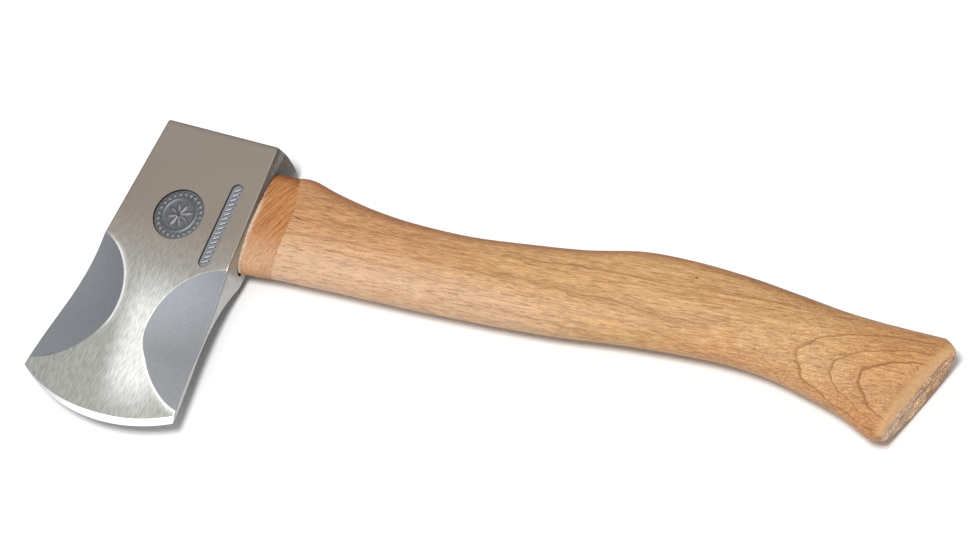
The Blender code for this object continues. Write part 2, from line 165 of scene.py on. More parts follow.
# Handle
RING_POINTS = 144
PLAIN_WOOD, SAWN_WOOD, SHOULDER_WOOD = 0, 1, 2    # the handle's material slots
GRIP_ROUNDNESS = (2.15, 2.15)
GAP = 0.3
TONGUE_PROUD = 0.5
EYE_CHAMFER_X = 2.0          # from here out the eye's mouth widens towards the grip
EYE_CHAMFER = (5.0, 1.5)     # x, and how much wider all round
LIP = 0.75                   # how far the crushed lip of the shoulder covers the steel round the eye
LIP_ROUNDNESS = (4.2, 2.4)
LIP_ENDS = (0.9, 1.7)        # how much less it covers at its upper and its lower end
LIP_POWERS = (6, 8)          # how suddenly it does so
LIP_WAVER = 0.3
LIP_WAVES = 0.9              # cycles to the millimetre, as in every name with WAVES but the facet's
LIP_CLEAR = 0.05             # how far the lip and its fibres stand clear of the steel
LIP_INSIDE = 2.0             # the head's thickness under the lip is taken so far in from its side
TONGUE_X = (-40.0, 1.0)      # where the even rings of the tongue start and end
TONGUE_RINGS = 10
TUCK = 0.4                   # how far the ring under the lip is drawn back along the tongue
FACET_LINE = (20.0, 9.4, 1.5, 1.2, 6.0)   # x at the cheek; how far less at each edge, and how suddenly
FACET_RINGS = 12
FACET_WAVER = 0.5            # how far the hand-cut line of the shoulder wavers
FACET_WAVES = 9.0            # in a circle of radius 1 round the section
FACET_SWELL = 0.45
BLEND_RINGS = 14
BLEND_END_X = 32.0
GRIP_STATIONS = (            # upper edge x, y, lower edge x, y, half thickness
    (2.0, -8.9, 2.0, -55.6, 8.3),
    (9.5, -6.9, 9.5, -54.8, 9.2),
    (14.0, -5.9, 14.0, -54.1, 9.7),
    (20.0, -6.3, 20.0, -53.5, 10.0),
    (32.0, -9.1, 32.0, -52.8, 10.1),
    (50.0, -11.9, 50.0, -51.7, 10.0),
    (70.0, -13.1, 70.0, -50.7, 9.9),
    (95.0, -12.4, 95.0, -49.1, 9.8),
    (120.0, -9.1, 120.0, -47.1, 9.9),
    (145.0, -4.9, 145.0, -44.5, 10.1),
    (168.0, 0.8, 168.0, -40.9, 10.3),
    (190.0, 2.4, 190.0, -38.2, 10.3),
    (214.0, 1.8, 213.0, -36.4, 10.4),
    (236.0, -0.3, 233.0, -37.1, 10.6),
    (257.0, -2.4, 250.0, -40.2, 11.0),
    (278.0, -2.9, 266.0, -44.3, 11.5),
    (298.3, -2.6, 281.2, -50.9, 12.0),
)
FIRST_GRIP_STATION = 4       # the first whose ring is the plain oval of the grip
GRIP_STEPS = 14
HALVINGS = 30                # of the stations, to find where one stands
BUTT_CHAMFER = 3.0
BUTT_CHAMFER_SIDE = 2.0
BUTT_CUT = 0.2               # the butt's edge is cut back from this share of the last station
BUTT_CORNER = 0.4            # how far the cut edge keeps out towards the uncut corner
BUTT_CUT_STEPS = 9
DENT_WAVES = (0.03, 0.09, 0.09)
DENT_DEPTH = 0.10
DENT_SINK = 0.09
SAWN_RINGS = 16
SAW_WAVES = (1.3, 0.25)      # across and along the saw marks
SAW_GRIT = 2.7
SAW_MIX = (0.5, 0.5, 0.35)   # shares of the depth: all over, from the saw marks and from the grit
BUTT_SAW_DEPTH = 0.16
TONGUE_SAW_DEPTH = 0.12
EASED_Z = 2.5                # above this the sawn end is planed to a shallow bevel
EASED_SLOPE = 0.17
EASED_FADE = 1.5             # how far above the bevel's foot the saw marks end

FIBRE_COUNT = 260
FIBRE_SEED = 7
FIBRE_PLACES = (0.03, 0.12, 0.24, 0.29, 0.33, 0.37, 0.42, 0.46)   # where they gather, as shares of a turn
FIBRE_SPREAD = 0.05
FIBRES_BELOW = 0.2           # the share that lie on the side that faces the floor
FIBRE_OUT = (0.05, 0.5)      # how a fibre leans: off the lip, along the lip and along the handle
FIBRE_ASIDE = (-0.8, 0.8)
FIBRE_ON = (0.3, 1.0)
FIBRE_LENGTH = (0.7, 2.4)
FIBRE_HALF_WIDTH = (0.07, 0.2)
FIBRE_HALF_THICKNESS = (0.04, 0.1)
FIBRE_ROOT = 0.3             # how far a fibre starts inside the wood
FIBRE_SHIFT = (-0.5, 0.5)
FIBRE_LIFT = 0.15            # how far the tip stands out
FIBRE_TIP = 0.3              # the tip's size, as a share of the root's

# Wedges
WOOD_WEDGE_PROUD = 0.7
WOOD_WEDGE_DEPTH = 37.0
WOOD_WEDGE_WIDTH = 39.4
WOOD_WEDGE_THICK = 4.2
WOOD_WEDGE_THIN = 1.0
WOOD_WEDGE_CUTS = 22
KERF_DEPTH = 39.0
KERF_WIDTH = 60.0
STEEL_WEDGE_PROUD = 0.9
STEEL_WEDGE_DEPTH = 22.0
STEEL_WEDGE_WIDTH = 20.0
STEEL_WEDGE_THICK = 2.4
STEEL_WEDGE_THIN = 0.6
STEEL_WEDGE_CUTS = 14
STEEL_WEDGE_BEVEL = 0.18
STEEL_WEDGE_Y = -31.0
STEEL_WEDGE_TURN = math.radians(33.0)
SLOT_OVERRUN = 3.0
WEDGE_HEAD_X = 0.01          # a wedge's driven end lies below this before it is set in the eye
WOOD_CRUSH = (0.35, 0.8)     # depth, and cycles to the millimetre
STEEL_CRUSH = (0.22, 0.6)
STEEL_WAVER = (0.06, 0.9)

# Camera: place, and the directions of the picture's right and upper edges
CAMERA_PLACE = (488.6, -387.8, 829.2)
CAMERA_RIGHT = (0.8898, 0.3896, -0.2375)
CAMERA_UP = (-0.2418, 0.8441, 0.4787)
CAMERA_LENS = 88.343
CAMERA_SENSOR = 36.0

# Light: strengths of the sky, a bright panel in it, and one soft lamp nearly overhead. The lamp's place
# and size, like the floor's radius, are in metres in the part's own frame.
SKY_HORIZON = 0.15
SKY_TOP = 0.50
PANEL_DIRECTION = (-0.50, 0.17, 0.84)
PANEL_EDGE = (16.0, 36.0)    # degrees from its middle where it starts to fade, and where it ends
PANEL_STRENGTH = 0.50
KEY_PLACE = (0.13, -0.265, 1.32)
KEY_SIZE = 0.33
KEY_WATTS = 15.0
FLOOR_RADIUS = 6.0

# Growth rings where the grip's surface cuts them. They run along an axis that follows the handle, and
# open into arches over the flare of the butt. A ring is a line of equal level, in square millimetres.
GRAIN_TURN_X = 205.0         # the grain's axis rises to here, then falls away
GRAIN_Y = -28.0
GRAIN_SLOPE = 0.09
GRAIN_FALL = 820.0
GRAIN_WANDER = 7.0
LOWER_SQUEEZE = 1.6          # rings lie this much closer together below the axis
ARCH_START_X = 218.0
ARCH_SOFTNESS = 8.0
ARCH_RATE = 16.0
HEAD_RATE = 0.5
DEPTH_START_Z = 4.0          # below this the rings close in with depth
DEPTH_RATE = 40.0
RING_LEVELS = (
    -1500.0, -736.0, -565.0, -342.0, -5.0, 115.0, 200.0, 290.0, 400.0,
    520.0, 700.0, 880.0, 1150.0, 1500.0, 2000.0,
)
LONG_LINES = (               # from x, y to x, y, and how dark
    (116.0, -19.2, 268.0, -6.9, 0.50),
    (128.0, -22.3, 258.0, -9.6, 0.35),
    (106.0, -28.8, 214.0, -27.0, 0.40),
    (26.0, -26.0, 112.0, -24.4, 0.35),
    (34.0, -39.0, 118.0, -38.2, 0.35),
    (100.0, -43.0, 176.0, -41.4, 0.40),
    (180.0, -33.0, 276.0, -44.0, 0.35),
    (226.0, -40.6, 284.0, -52.0, 0.40),
)
LINE_EDGES = (0.60, 0.12)    # distance from a line's middle where it is gone, and where it is full
LINE_FADES = (12.0, 16.0)    # over how much of its length a line starts and ends
WOOD_MARKS = (               # centre, half length, half width, slope, and how dark
    ((195.4, -8.0), 0.8, 0.6, 0.0, 0.85),
    ((22.6, -28.4), 2.6, 0.55, -0.12, 0.80),
    ((285.1, -40.8), 1.8, 1.2, -0.3, 0.30),
)


def head_corner():
    """Where x = 0, y = 0, z = 0 of the head's frame lies in the row frame, from the CAD head's box."""
    low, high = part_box("axe_head")
    return Vector((low[0] - TOE_X * MM, high[1], (low[2] + high[2]) / 2))


CORNER = head_corner()


def mix(start, end, share):
    """The value a share of the way from start to end."""
    return start + (end - start) * share


def smooth(value):
    """0 below 0, 1 above 1, and a smooth step between."""
    value = min(1.0, max(0.0, value))
    return value * value * (3.0 - 2.0 * value)


# --------------------------------------------------------------------------------------- mesh helpers

def add_object(name, shape, materials):
    """An object from a bmesh in millimetres, placed at the head's corner."""
    bmesh.ops.scale(shape, vec=(MM, MM, MM), verts=shape.verts)
    bmesh.ops.recalc_face_normals(shape, faces=shape.faces)
    mesh = bpy.data.meshes.new(name)
    shape.to_mesh(mesh)
    shape.free()
    for material in materials:
        mesh.materials.append(material)
    piece = bpy.data.objects.new(name, mesh)
    piece.location = CORNER
    bpy.context.scene.collection.objects.link(piece)
    return piece


def cut_away(piece, cutters):
    """Take the cutters out of a piece for good; the new faces keep the cutters' own materials."""
    for cutter in cutters:
        boolean = piece.modifiers.new(cutter.name, "BOOLEAN")
        boolean.operation = "DIFFERENCE"
        boolean.solver = "EXACT"
        boolean.material_mode = "TRANSFER"
        boolean.object = cutter
    bpy.context.view_layer.update()
    graph = bpy.context.evaluated_depsgraph_get()
    mesh = bpy.data.meshes.new_from_object(piece.evaluated_get(graph))
    piece.modifiers.clear()
    piece.data = mesh
    for cutter in cutters:
        bpy.data.objects.remove(cutter, do_unlink=True)


def shade_round(piece, sharpest_degrees):
    """Shade a piece smooth, and leave its real edges sharp."""
    piece.data.shade_smooth()
    piece.data.set_sharp_from_angle(angle=math.radians(sharpest_degrees))


def bridge(shape, near, far, material=0):
    """Join two closed loops of the same length with quads."""
    for index in range(len(near)):
        after = (index + 1) % len(near)
        face = shape.faces.new((near[index], near[after], far[after], far[index]))
        face.material_index = material


def skin(shape, loops):
    """Join a row of loops, each to the next."""
    for near, far in zip(loops, loops[1:]):
        bridge(shape, near, far)


def fan(shape, loop, centre, material=0):
    """Close a loop with triangles to a point."""
    for index in range(len(loop)):
        face = shape.faces.new((loop[index], loop[(index + 1) % len(loop)], centre))
        face.material_index = material


def cap_both(shape, loops):
    """Close the first and the last loop with flat faces."""
    shape.faces.new(loops[0])
    shape.faces.new(reversed(loops[-1]))


def add_loop(shape, points):
    """Vertices for a loop of points."""
    return [shape.verts.new(point) for point in points]


# ---------------------------------------------------------------------------------------------- head

def bit_y(x):
    """The cutting edge: an arc."""
    centre_x, centre_y = BIT_CENTRE
    return centre_y - math.sqrt(BIT_RADIUS ** 2 - (x - centre_x) ** 2)


def top_side_x(depth):
    """The side of the head where the eye's top is: straight to the neck, then flared to the toe."""
    toe_depth = -bit_y(TOE_X)
    flare = max(0.0, depth - TOP_NECK_DEPTH) / (toe_depth - TOP_NECK_DEPTH)
    return -POLL_WIDTH - TOP_DRAFT * min(depth, TOP_NECK_DEPTH) - TOP_FLARE * flare


def underside_x(depth):
    """The side of the head that faces the grip: straight to the neck, then curved out to the heel."""
    heel_depth = -bit_y(HEEL_X)
    flare = max(0.0, depth - UNDERSIDE_NECK_DEPTH) / (heel_depth - UNDERSIDE_NECK_DEPTH)
    return UNDERSIDE_DRAFT * min(depth, BLADE_DEPTH) + UNDERSIDE_FLARE * flare ** UNDERSIDE_FLARE_POWER


def rim_power(scoop, y):
    """The power of a scoop's rim: 2, an ellipse, in its upper half, and straighter in its lower half."""
    _, centre_y, _, half_y, lower_power = scoop
    return mix(2.0, lower_power, smooth(2.0 * (centre_y - y) / half_y))


def scoop_weight(scoop, x, y):
    """How deep a scoop is at a point: 1 at its centre, 0 on its rim and beyond."""
    centre_x, centre_y, half_x, half_y, _ = scoop
    power = rim_power(scoop, y)
    return max(0.0, 1.0 - abs((x - centre_x) / half_x) ** power - abs((y - centre_y) / half_y) ** power)


def scoop_rim_x(scoop, y, side):
    """Where a scoop's rim crosses the line at y; side is +1 where the rim lies at +x of its centre."""
    centre_x, centre_y, half_x, half_y, _ = scoop
    power = rim_power(scoop, y)
    reach = max(0.0, 1.0 - abs((y - centre_y) / half_y) ** power) ** (1.0 / power)
    return centre_x + side * half_x * reach


def band_width(x):
    """The sharpened band's width: next to nothing at the toe, full from the middle on."""
    slope, start = BAND_EASING
    share = smooth((x - TOE_X) / (BAND_FULL_X - TOE_X) * slope + start)
    return mix(BAND_TOE_WIDTH, BAND_WIDTH, share)


def half_thickness(x, y):
    """Half the head's thickness at a point of its outline."""
    blade_root = POLL_THICKNESS / 2 - CHEEK_TAPER * BLADE_DEPTH
    width = band_width(x)
    band_top_y = bit_y(x) + width
    band_top = EDGE_HALF_THICKNESS + (BAND_HALF_THICKNESS - EDGE_HALF_THICKNESS) * width / BAND_WIDTH
    if y > -BLADE_DEPTH:
        flat = POLL_THICKNESS / 2 + CHEEK_TAPER * y
    elif y > band_top_y:
        share = (y + BLADE_DEPTH) / (band_top_y + BLADE_DEPTH)
        middle = 1.0 - ((x - BIT_CENTRE[0]) / CROWN_HALF_WIDTH) ** 2
        flat = mix(blade_root, band_top, share) + CROWN * middle * 4.0 * share * (1.0 - share)
    else:
        share = min(1.0, max(0.0, (band_top_y - y) / width))
        flat = mix(band_top, EDGE_HALF_THICKNESS, share)
    scoop = max(scoop_weight(TOP_SCOOP, x, y), scoop_weight(UNDERSIDE_SCOOP, x, y))
    return max(EDGE_HALF_THICKNESS, flat * (1.0 - SCOOP_DEPTH * scoop))


def corner_radius(x, y):
    """The rounding of the head's long edges, smaller where the blade is thin."""
    return min(EDGE_ROUND, 0.5 * half_thickness(x, y))


def column_x(column, y):
    """Columns run in three bands: a scoop, the high centre of the blade, and the other scoop."""
    left = top_side_x(-y)
    right = underside_x(-y)
    left_rim = max(left + EDGE_STRIP, scoop_rim_x(TOP_SCOOP, y, 1))
    right_rim = min(right - EDGE_STRIP, scoop_rim_x(UNDERSIDE_SCOOP, y, -1))
    left += corner_radius(left, y)
    right -= corner_radius(right, y)
    if column <= SIDE_COLUMNS:
        return mix(left, left_rim, column / SIDE_COLUMNS)
    if column <= SIDE_COLUMNS + CENTRE_COLUMNS:
        return mix(left_rim, right_rim, (column - SIDE_COLUMNS) / CENTRE_COLUMNS)
    return mix(right_rim, right, (column - SIDE_COLUMNS - CENTRE_COLUMNS) / SIDE_COLUMNS)


def blade_point(column, blade_share, band_share):
    """A point of the blade's upper face. Rows bend gradually from a straight line to the bit's arc."""
    x = column_x(column, -BLADE_DEPTH)
    for _ in range(SETTLING_PASSES):
        band_top_y = bit_y(x) + band_width(x)
        y = mix(mix(-BLADE_DEPTH, band_top_y, blade_share), bit_y(x), band_share)
        x = column_x(column, y)
    return Vector((x, y, half_thickness(x, y)))


def head_rows():
    """The upper face of the head as rows of points, from the poll to the cutting edge."""
    columns = range(2 * SIDE_COLUMNS + CENTRE_COLUMNS + 1)
    rows = []
    for step in range(BLOCK_ROWS):
        y = mix(-POLL_ROUND, -BLADE_DEPTH, step / BLOCK_ROWS)
        row_x = [column_x(column, y) for column in columns]
        rows.append([Vector((x, y, half_thickness(x, y))) for x in row_x])
    for step in range(BLADE_ROWS + 1):
        rows.append([blade_point(column, step / BLADE_ROWS, 0.0) for column in columns])
    for step in range(1, BAND_ROWS + 1):
        rows.append([blade_point(column, 1.0, step / BAND_ROWS) for column in columns])
    return rows


def side_points(corner, side):
    """The head's side from a corner of the upper face down to the middle plane: a rounding, then a wall."""
    edge_x = corner.x + side * corner_radius(corner.x, corner.y)
    radius = abs(edge_x - corner.x)
    heights = []
    for step in range(1, ROUND_STEPS + 1):
        angle = math.pi / 2 * step / ROUND_STEPS
        heights.append((corner.z - radius * (1.0 - math.cos(angle)), radius * (1.0 - math.sin(angle))))
    for step in range(1, WALL_STEPS + 1):
        heights.append(((corner.z - radius) * (1.0 - step / WALL_STEPS), 0.0))
    points = []
    for height, inset in heights:
        bulge = SIDE_BULGE * corner.z ** 2 * (1.0 - (height / corner.z) ** 3)
        points.append(Vector((edge_x + side * (bulge - inset), corner.y, height)))
    return points


def flipped(points):
    """Points mirrored in the middle plane, in reverse order."""
    return [Vector((point.x, point.y, -point.z)) for point in reversed(points)]


def section_loop(row):
    """The head's whole section through a row: upper face, a side, lower face, the other side."""
    right = side_points(row[-1], 1.0)
    left = side_points(row[0], -1.0)
    right_side = right + flipped(right[:-1])
    left_side = left + flipped(left[:-1])
    return list(row) + right_side + flipped(row) + list(reversed(left_side))


def inset_loop(points, y, inset):
    """A section moved to y and drawn in all round."""
    low_x = min(point.x for point in points)
    high_x = max(point.x for point in points)
    half_width = (high_x - low_x) / 2
    half_height = max(point.z for point in points)
    middle = (low_x + high_x) / 2
    scale_x = 1.0 - inset / half_width
    scale_z = 1.0 - inset / half_height
    return [Vector((middle + (point.x - middle) * scale_x, y, point.z * scale_z)) for point in points]


def close_edge(shape, loop, columns):
    """Close the thin end of the loft along the cutting edge."""
    sides = (len(loop) - 2 * columns) // 2
    lower_start = columns + sides
    for index in range(columns - 1):
        mirrored = lower_start + columns - 1 - index
        shape.faces.new((loop[index + 1], loop[index], loop[mirrored], loop[mirrored - 1]))
    shape.faces.new(loop[columns - 1:lower_start + 1])
    shape.faces.new(loop[lower_start + columns - 1:] + [loop[0]])


def build_head_block(materials):
    """The forged head before its eye and stamps are cut."""
    shape = bmesh.new()
    rows = head_rows()
    sections = [section_loop(row) for row in rows]
    poll = []
    for step in range(ROUND_STEPS, 0, -1):
        angle = math.pi / 2 * step / ROUND_STEPS
        inset = POLL_ROUND * (1.0 - math.cos(angle))
        poll.append(inset_loop(sections[0], -POLL_ROUND * (1.0 - math.sin(angle)), inset))
    poll.insert(0, inset_loop(sections[0], 0.0, POLL_ROUND + POLL_FACE_INSET))
    loops = [add_loop(shape, points) for points in poll + sections]
    shape.faces.new(reversed(loops[0]))
    skin(shape, loops)
    close_edge(shape, loops[-1], len(rows[0]))
    bmesh.ops.recalc_face_normals(shape, faces=shape.faces)
    for face in shape.faces:
        behind_band = face.calc_center_median().y > bit_y(0.0) + BAND_WIDTH
        if abs(face.normal.z) < SIDE_NORMAL_Z and behind_band:
            face.material_index = SIDE_SLOT
    return add_object("axe_head_fine", shape, materials)


def on_upper_cheek(x, y):
    """The frame of the upper cheek at a point: its z axis stands square to the tapered cheek."""
    height = POLL_THICKNESS / 2 + CHEEK_TAPER * y
    return Matrix.Translation((x, y, height)) @ Matrix.Rotation(math.atan(CHEEK_TAPER), 4, "X")


def off_middle(angle, count):
    """How far an angle lies from the middle of its share of a turn cut in so many, from -0.5 to 0.5."""
    return (angle * count / (2.0 * math.pi)) % 1.0 - 0.5


def roundel_height(radius, angle):
    """The roundel's relief: a raised ring, a border of beads, and an eight-pointed star on a boss."""
    ring_half_width, ring_rise = RING_RELIEF
    ring_line = math.exp(-((radius - ROUNDEL_INNER_RADIUS) / ring_half_width) ** 2) * ring_rise
    beads = 0.0
    if ROUNDEL_INNER_RADIUS + BEAD_MARGINS[0] < radius < ROUNDEL_RADIUS - BEAD_MARGINS[1]:
        bead_radius, bead_rise = BEAD_RELIEF
        along = off_middle(angle, BEAD_COUNT) * 2.0 * math.pi * radius / BEAD_COUNT
        across = radius - (ROUNDEL_INNER_RADIUS + ROUNDEL_RADIUS) / 2 - BEAD_SHIFT
        beads = bead_rise * smooth(BEAD_FLANK - math.hypot(along, across) / bead_radius)
    reach, notch, star_rise, fall = STAR_RELIEF
    aside = abs(off_middle(angle, STAR_POINTS)) * 2.0
    star = star_rise * smooth((reach - notch * aside - radius) / STAR_FLANK) * (1.0 - fall * aside)
    boss_radius, boss_rise = BOSS_RELIEF
    boss = boss_rise * smooth((boss_radius - radius) / BOSS_FLANK)
    return -STAMP_DEPTH + max(ring_line, beads, star + boss)


def roundel_loop(shape, radius, height_at):
    """A circle of the roundel's cutter; height_at gives the height at an angle."""
    points = []
    for spoke in range(ROUNDEL_SPOKES):
        angle = 2.0 * math.pi * spoke / ROUNDEL_SPOKES
        points.append((radius * math.cos(angle), radius * math.sin(angle), height_at(angle)))
    return add_loop(shape, points)


def build_roundel_cutter(materials):
    """A disc whose lower face carries the round stamp's relief."""
    shape = bmesh.new()
    radii = [ROUNDEL_STEP * step for step in range(1, ROUNDEL_STEPS + 1)]
    radii += [ROUNDEL_RADIUS - inset for inset in ROUNDEL_RIM_INSETS]
    centre = shape.verts.new((0.0, 0.0, roundel_height(0.0, 0.0)))
    loops = [roundel_loop(shape, radius, lambda angle: roundel_height(radius, angle)) for radius in radii]
    for offset, height in STAMP_WALL:
        loops.append(roundel_loop(shape, ROUNDEL_RADIUS + offset, lambda angle: height))
    fan(shape, loops[0], centre)
    skin(shape, loops)
    shape.faces.new(loops[-1])
    bmesh.ops.transform(shape, matrix=on_upper_cheek(*ROUNDEL_CENTRE), verts=shape.verts)
    return add_object("roundel_cutter", shape, materials)


def pill_outline(radius, half_length, steps):
    """A pill's outline about the origin, along y."""
    points = []
    for end in (1.0, -1.0):
        for step in range(steps + 1):
            angle = math.pi * step / steps + (0.0 if end > 0.0 else math.pi)
            points.append((radius * math.cos(angle), end * half_length + radius * math.sin(angle)))
    return points


def build_panel_cutter(materials):
    """The pill-shaped stamp."""
    half_length = (PANEL_ENDS[0] - PANEL_ENDS[1]) / 2
    middle = (PANEL_ENDS[0] + PANEL_ENDS[1]) / 2
    shape = bmesh.new()
    loops = []
    for offset, height in STAMP_WALL:
        outline = pill_outline(PANEL_RADIUS + offset, half_length, PANEL_STEPS)
        loops.append(add_loop(shape, [(x, y, height) for x, y in outline]))
    skin(shape, loops)
    cap_both(shape, loops)
    bmesh.ops.transform(shape, matrix=on_upper_cheek(PANEL_X, middle), verts=shape.verts)
    return add_object("panel_cutter", shape, materials)


def build_panel_marks(materials):
    """Slanted bars that stand on the long stamp's floor, like the turns of a rope."""
    shape = bmesh.new()
    for index in range(BAR_COUNT):
        y = mix(PANEL_ENDS[0], PANEL_ENDS[1], index / (BAR_COUNT - 1))
        place = on_upper_cheek(PANEL_X, y) @ Matrix.Rotation(BAR_TURN, 4, "Z")
        loops = []
        for height, share in BAR_LEVELS:
            half_length = BAR_HALF_LENGTH - BAR_RADIUS * (1.0 - share)
            outline = pill_outline(BAR_RADIUS * share, half_length, BAR_STEPS)
            points = [place @ Vector((x, y, height - STAMP_DEPTH)) for y, x in outline]
            loops.append(add_loop(shape, points))
        skin(shape, loops)
        cap_both(shape, loops)
    return add_object("panel_marks", shape, materials)


# ---------------------------------------------------------------------------------------------- rings

def ring(upper, lower, half_width, taper, roundness):
    """A closed oval between an upper and a lower edge point; taper narrows it towards the lower edge."""
    centre = (upper + lower) / 2
    reach = (upper - lower) / 2
    loop = []
    for index in range(RING_POINTS):
        angle = 2.0 * math.pi * index / RING_POINTS
        power = 2.0 / (roundness[0] if math.cos(angle) > 0.0 else roundness[1])
        along = math.copysign(abs(math.cos(angle)) ** power, math.cos(angle))
        across = math.copysign(abs(math.sin(angle)) ** power, math.sin(angle))
        side = Vector((0.0, 0.0, half_width * across * (1.0 + taper * along)))
        loop.append(centre + reach * along + side)
    return loop


def eye_ring(x, clearance, slope=0.0):
    """The eye's section at x, smaller all round by the clearance; slope tilts it, mm of x per mm of y."""
    sections = zip(EYE_SECTIONS, EYE_SECTIONS[1:])
    start, end = next((a, b) for a, b in sections if x <= b[0])
    share = (x - start[0]) / (end[0] - start[0])
    half_length = mix(start[1], end[1], share) - clearance
    half_width = mix(start[2], end[2], share) - clearance
    middle = Vector((x, EYE_CENTRE_Y, 0.0))
    reach = Vector((slope * half_length, half_length, 0.0))
    return ring(middle + reach, middle - reach, half_width, EYE_TAPER, EYE_ROUNDNESS)


def build_eye_cutter(materials):
    """The eye right through the head, chamfered where the handle enters."""
    inner_x = [x for x, _, _ in EYE_SECTIONS if x < EYE_CHAMFER_X]
    rings = [eye_ring(x, 0.0) for x in inner_x]
    rings.append(eye_ring(EYE_CHAMFER_X, 0.0))
    rings.append(eye_ring(EYE_CHAMFER[0], -EYE_CHAMFER[1]))
    rings.append(eye_ring(EYE_SECTIONS[-1][0], -EYE_CHAMFER[1]))
    shape = bmesh.new()
    loops = [add_loop(shape, points) for points in rings]
    skin(shape, loops)
    cap_both(shape, loops)
    return add_object("eye_cutter", shape, materials)


def build_head(steel, side_steel, stamp_steel, eye_steel):
    """The forged head: fine surfaces, rounded edges, the eye and the two stamps."""
    head = build_head_block([steel, side_steel])
    cutters = [
        build_roundel_cutter([stamp_steel]),
        build_panel_cutter([stamp_steel]),
        build_eye_cutter([eye_steel]),
    ]
    cut_away(head, cutters)
    shade_round(head, SHARPEST_HEAD_ANGLE)
    return head


# -------------------------------------------------------------------------------------------- handle

def smooth_station(position):
    """The grip's station at a position along the list, by Catmull-Rom between its neighbours."""
    index = min(int(position), len(GRIP_STATIONS) - 2)
    share = position - index
    before = GRIP_STATIONS[max(index - 1, 0)]
    start, end = GRIP_STATIONS[index], GRIP_STATIONS[index + 1]
    after = GRIP_STATIONS[min(index + 2, len(GRIP_STATIONS) - 1)]
    return [
        0.5 * (2.0 * q + (r - p) * share + (2.0 * p - 5.0 * q + 4.0 * r - s) * share ** 2
               + (3.0 * q - p - 3.0 * r + s) * share ** 3)
        for p, q, r, s in zip(before, start, end, after)
    ]


def station_at(x):
    """The position in the list of stations where the upper edge reaches x."""
    low, high = 0.0, len(GRIP_STATIONS) - 1.0
    for _ in range(HALVINGS):
        middle = (low + high) / 2
        if smooth_station(middle)[0] < x:
            low = middle
        else:
            high = middle
    return low


def edges(station):
    """A station's upper and lower edge points, and its half thickness."""
    upper_x, upper_y, lower_x, lower_y, half_width = station
    return Vector((upper_x, upper_y, 0.0)), Vector((lower_x, lower_y, 0.0)), half_width


def grip_ring(position):
    """The oval section of the grip at a position along the stations."""
    return ring(*edges(smooth_station(position)), 0.0, GRIP_ROUNDNESS)


def facet_line_x(angle):
    """Where the slanted shoulder meets the grip, round the section: angle 0 is the upper edge."""
    cheek_x, upper_less, upper_power, lower_less, lower_power = FACET_LINE
    up = max(0.0, math.cos(angle)) ** upper_power
    down = max(0.0, -math.cos(angle)) ** lower_power
    waver = noise.noise(Vector((math.cos(angle), math.sin(angle), 0.0)) * FACET_WAVES)
    return cheek_x - upper_less * up - lower_less * down + FACET_WAVER * waver


def grip_point(x, index):
    """A point of the grip where its section stands at x."""
    return grip_ring(station_at(x))[index]


def lip_ring():
    """The crushed lip that covers the rim of the eye; it leaves the lowest corner open."""
    lip_x, half_length, half_width = EYE_SECTIONS[3]
    middle = Vector((lip_x, EYE_CENTRE_Y, 0.0))
    reach = Vector((0.0, half_length, 0.0))
    oval = ring(middle + reach, middle - reach, half_width, EYE_TAPER, LIP_ROUNDNESS)
    points = []
    for index, point in enumerate(oval):
        angle = 2.0 * math.pi * index / RING_POINTS
        upper = max(0.0, math.cos(angle)) ** LIP_POWERS[0]
        lower = max(0.0, -math.cos(angle)) ** LIP_POWERS[1]
        cover = LIP - LIP_ENDS[0] * upper - LIP_ENDS[1] * lower
        outward = (point - middle).normalized()
        waver = noise.noise(Vector((point.y, point.z, lip_x)) * LIP_WAVES)
        moved = point + outward * (cover + LIP_WAVER * waver)
        depth = -moved.y
        thick = half_thickness(underside_x(depth) - LIP_INSIDE, moved.y)
        level = min(1.0, abs(moved.z) / thick)
        moved.x = underside_x(depth) + SIDE_BULGE * thick ** 2 * (1.0 - level ** 3) + LIP_CLEAR
        points.append(moved)
    return points


def handle_rings():
    """Every section of the handle, from the end of the tongue to its last plain oval."""
    tongue_end_x = top_side_x(-EYE_CENTRE_Y) - TONGUE_PROUD
    rings = [eye_ring(tongue_end_x, GAP, TOP_DRAFT)]
    for step in range(TONGUE_RINGS):
        rings.append(eye_ring(mix(*TONGUE_X, step / (TONGUE_RINGS - 1)), GAP))
    lip = lip_ring()
    tuck = Vector((TUCK, 0.0, 0.0))
    rings.append([mix(inner, outer, 0.5) - tuck for inner, outer in zip(rings[-1], lip)])
    rings.append(lip)
    facet_start = len(rings) - 1
    facet_ends = []
    for index in range(RING_POINTS):
        angle = 2.0 * math.pi * index / RING_POINTS
        facet_ends.append(grip_point(facet_line_x(angle), index))
    for step in range(1, FACET_RINGS + 1):
        share = step / FACET_RINGS
        swell = FACET_SWELL * 4.0 * share * (1.0 - share) * (1.0 - share)
        points = []
        for start, end in zip(lip, facet_ends):
            outward = Vector((0.0, start.y - EYE_CENTRE_Y, start.z)).normalized()
            points.append(mix(start, end, share) + outward * swell)
        rings.append(points)
    for step in range(1, BLEND_RINGS + 1):
        share = step / BLEND_RINGS
        points = []
        for index, start in enumerate(facet_ends):
            points.append(grip_point(mix(start.x, BLEND_END_X, share), index))
        rings.append(points)
    last = len(GRIP_STATIONS) - 1 - BUTT_CUT
    total = int((last - FIRST_GRIP_STATION) * GRIP_STEPS)
    for step in range(1, total + 1):
        rings.append(grip_ring(mix(FIRST_GRIP_STATION, last, step / total)))
    return rings, facet_start


def butt_frame():
    """The last station's edge points, the sawn end's directions along and out, and half its thickness."""
    upper, lower, half_width = edges(GRIP_STATIONS[-1])
    along = (upper - lower).normalized()
    outward = Vector((along.y, -along.x, 0.0))
    return upper, lower, along, outward, half_width


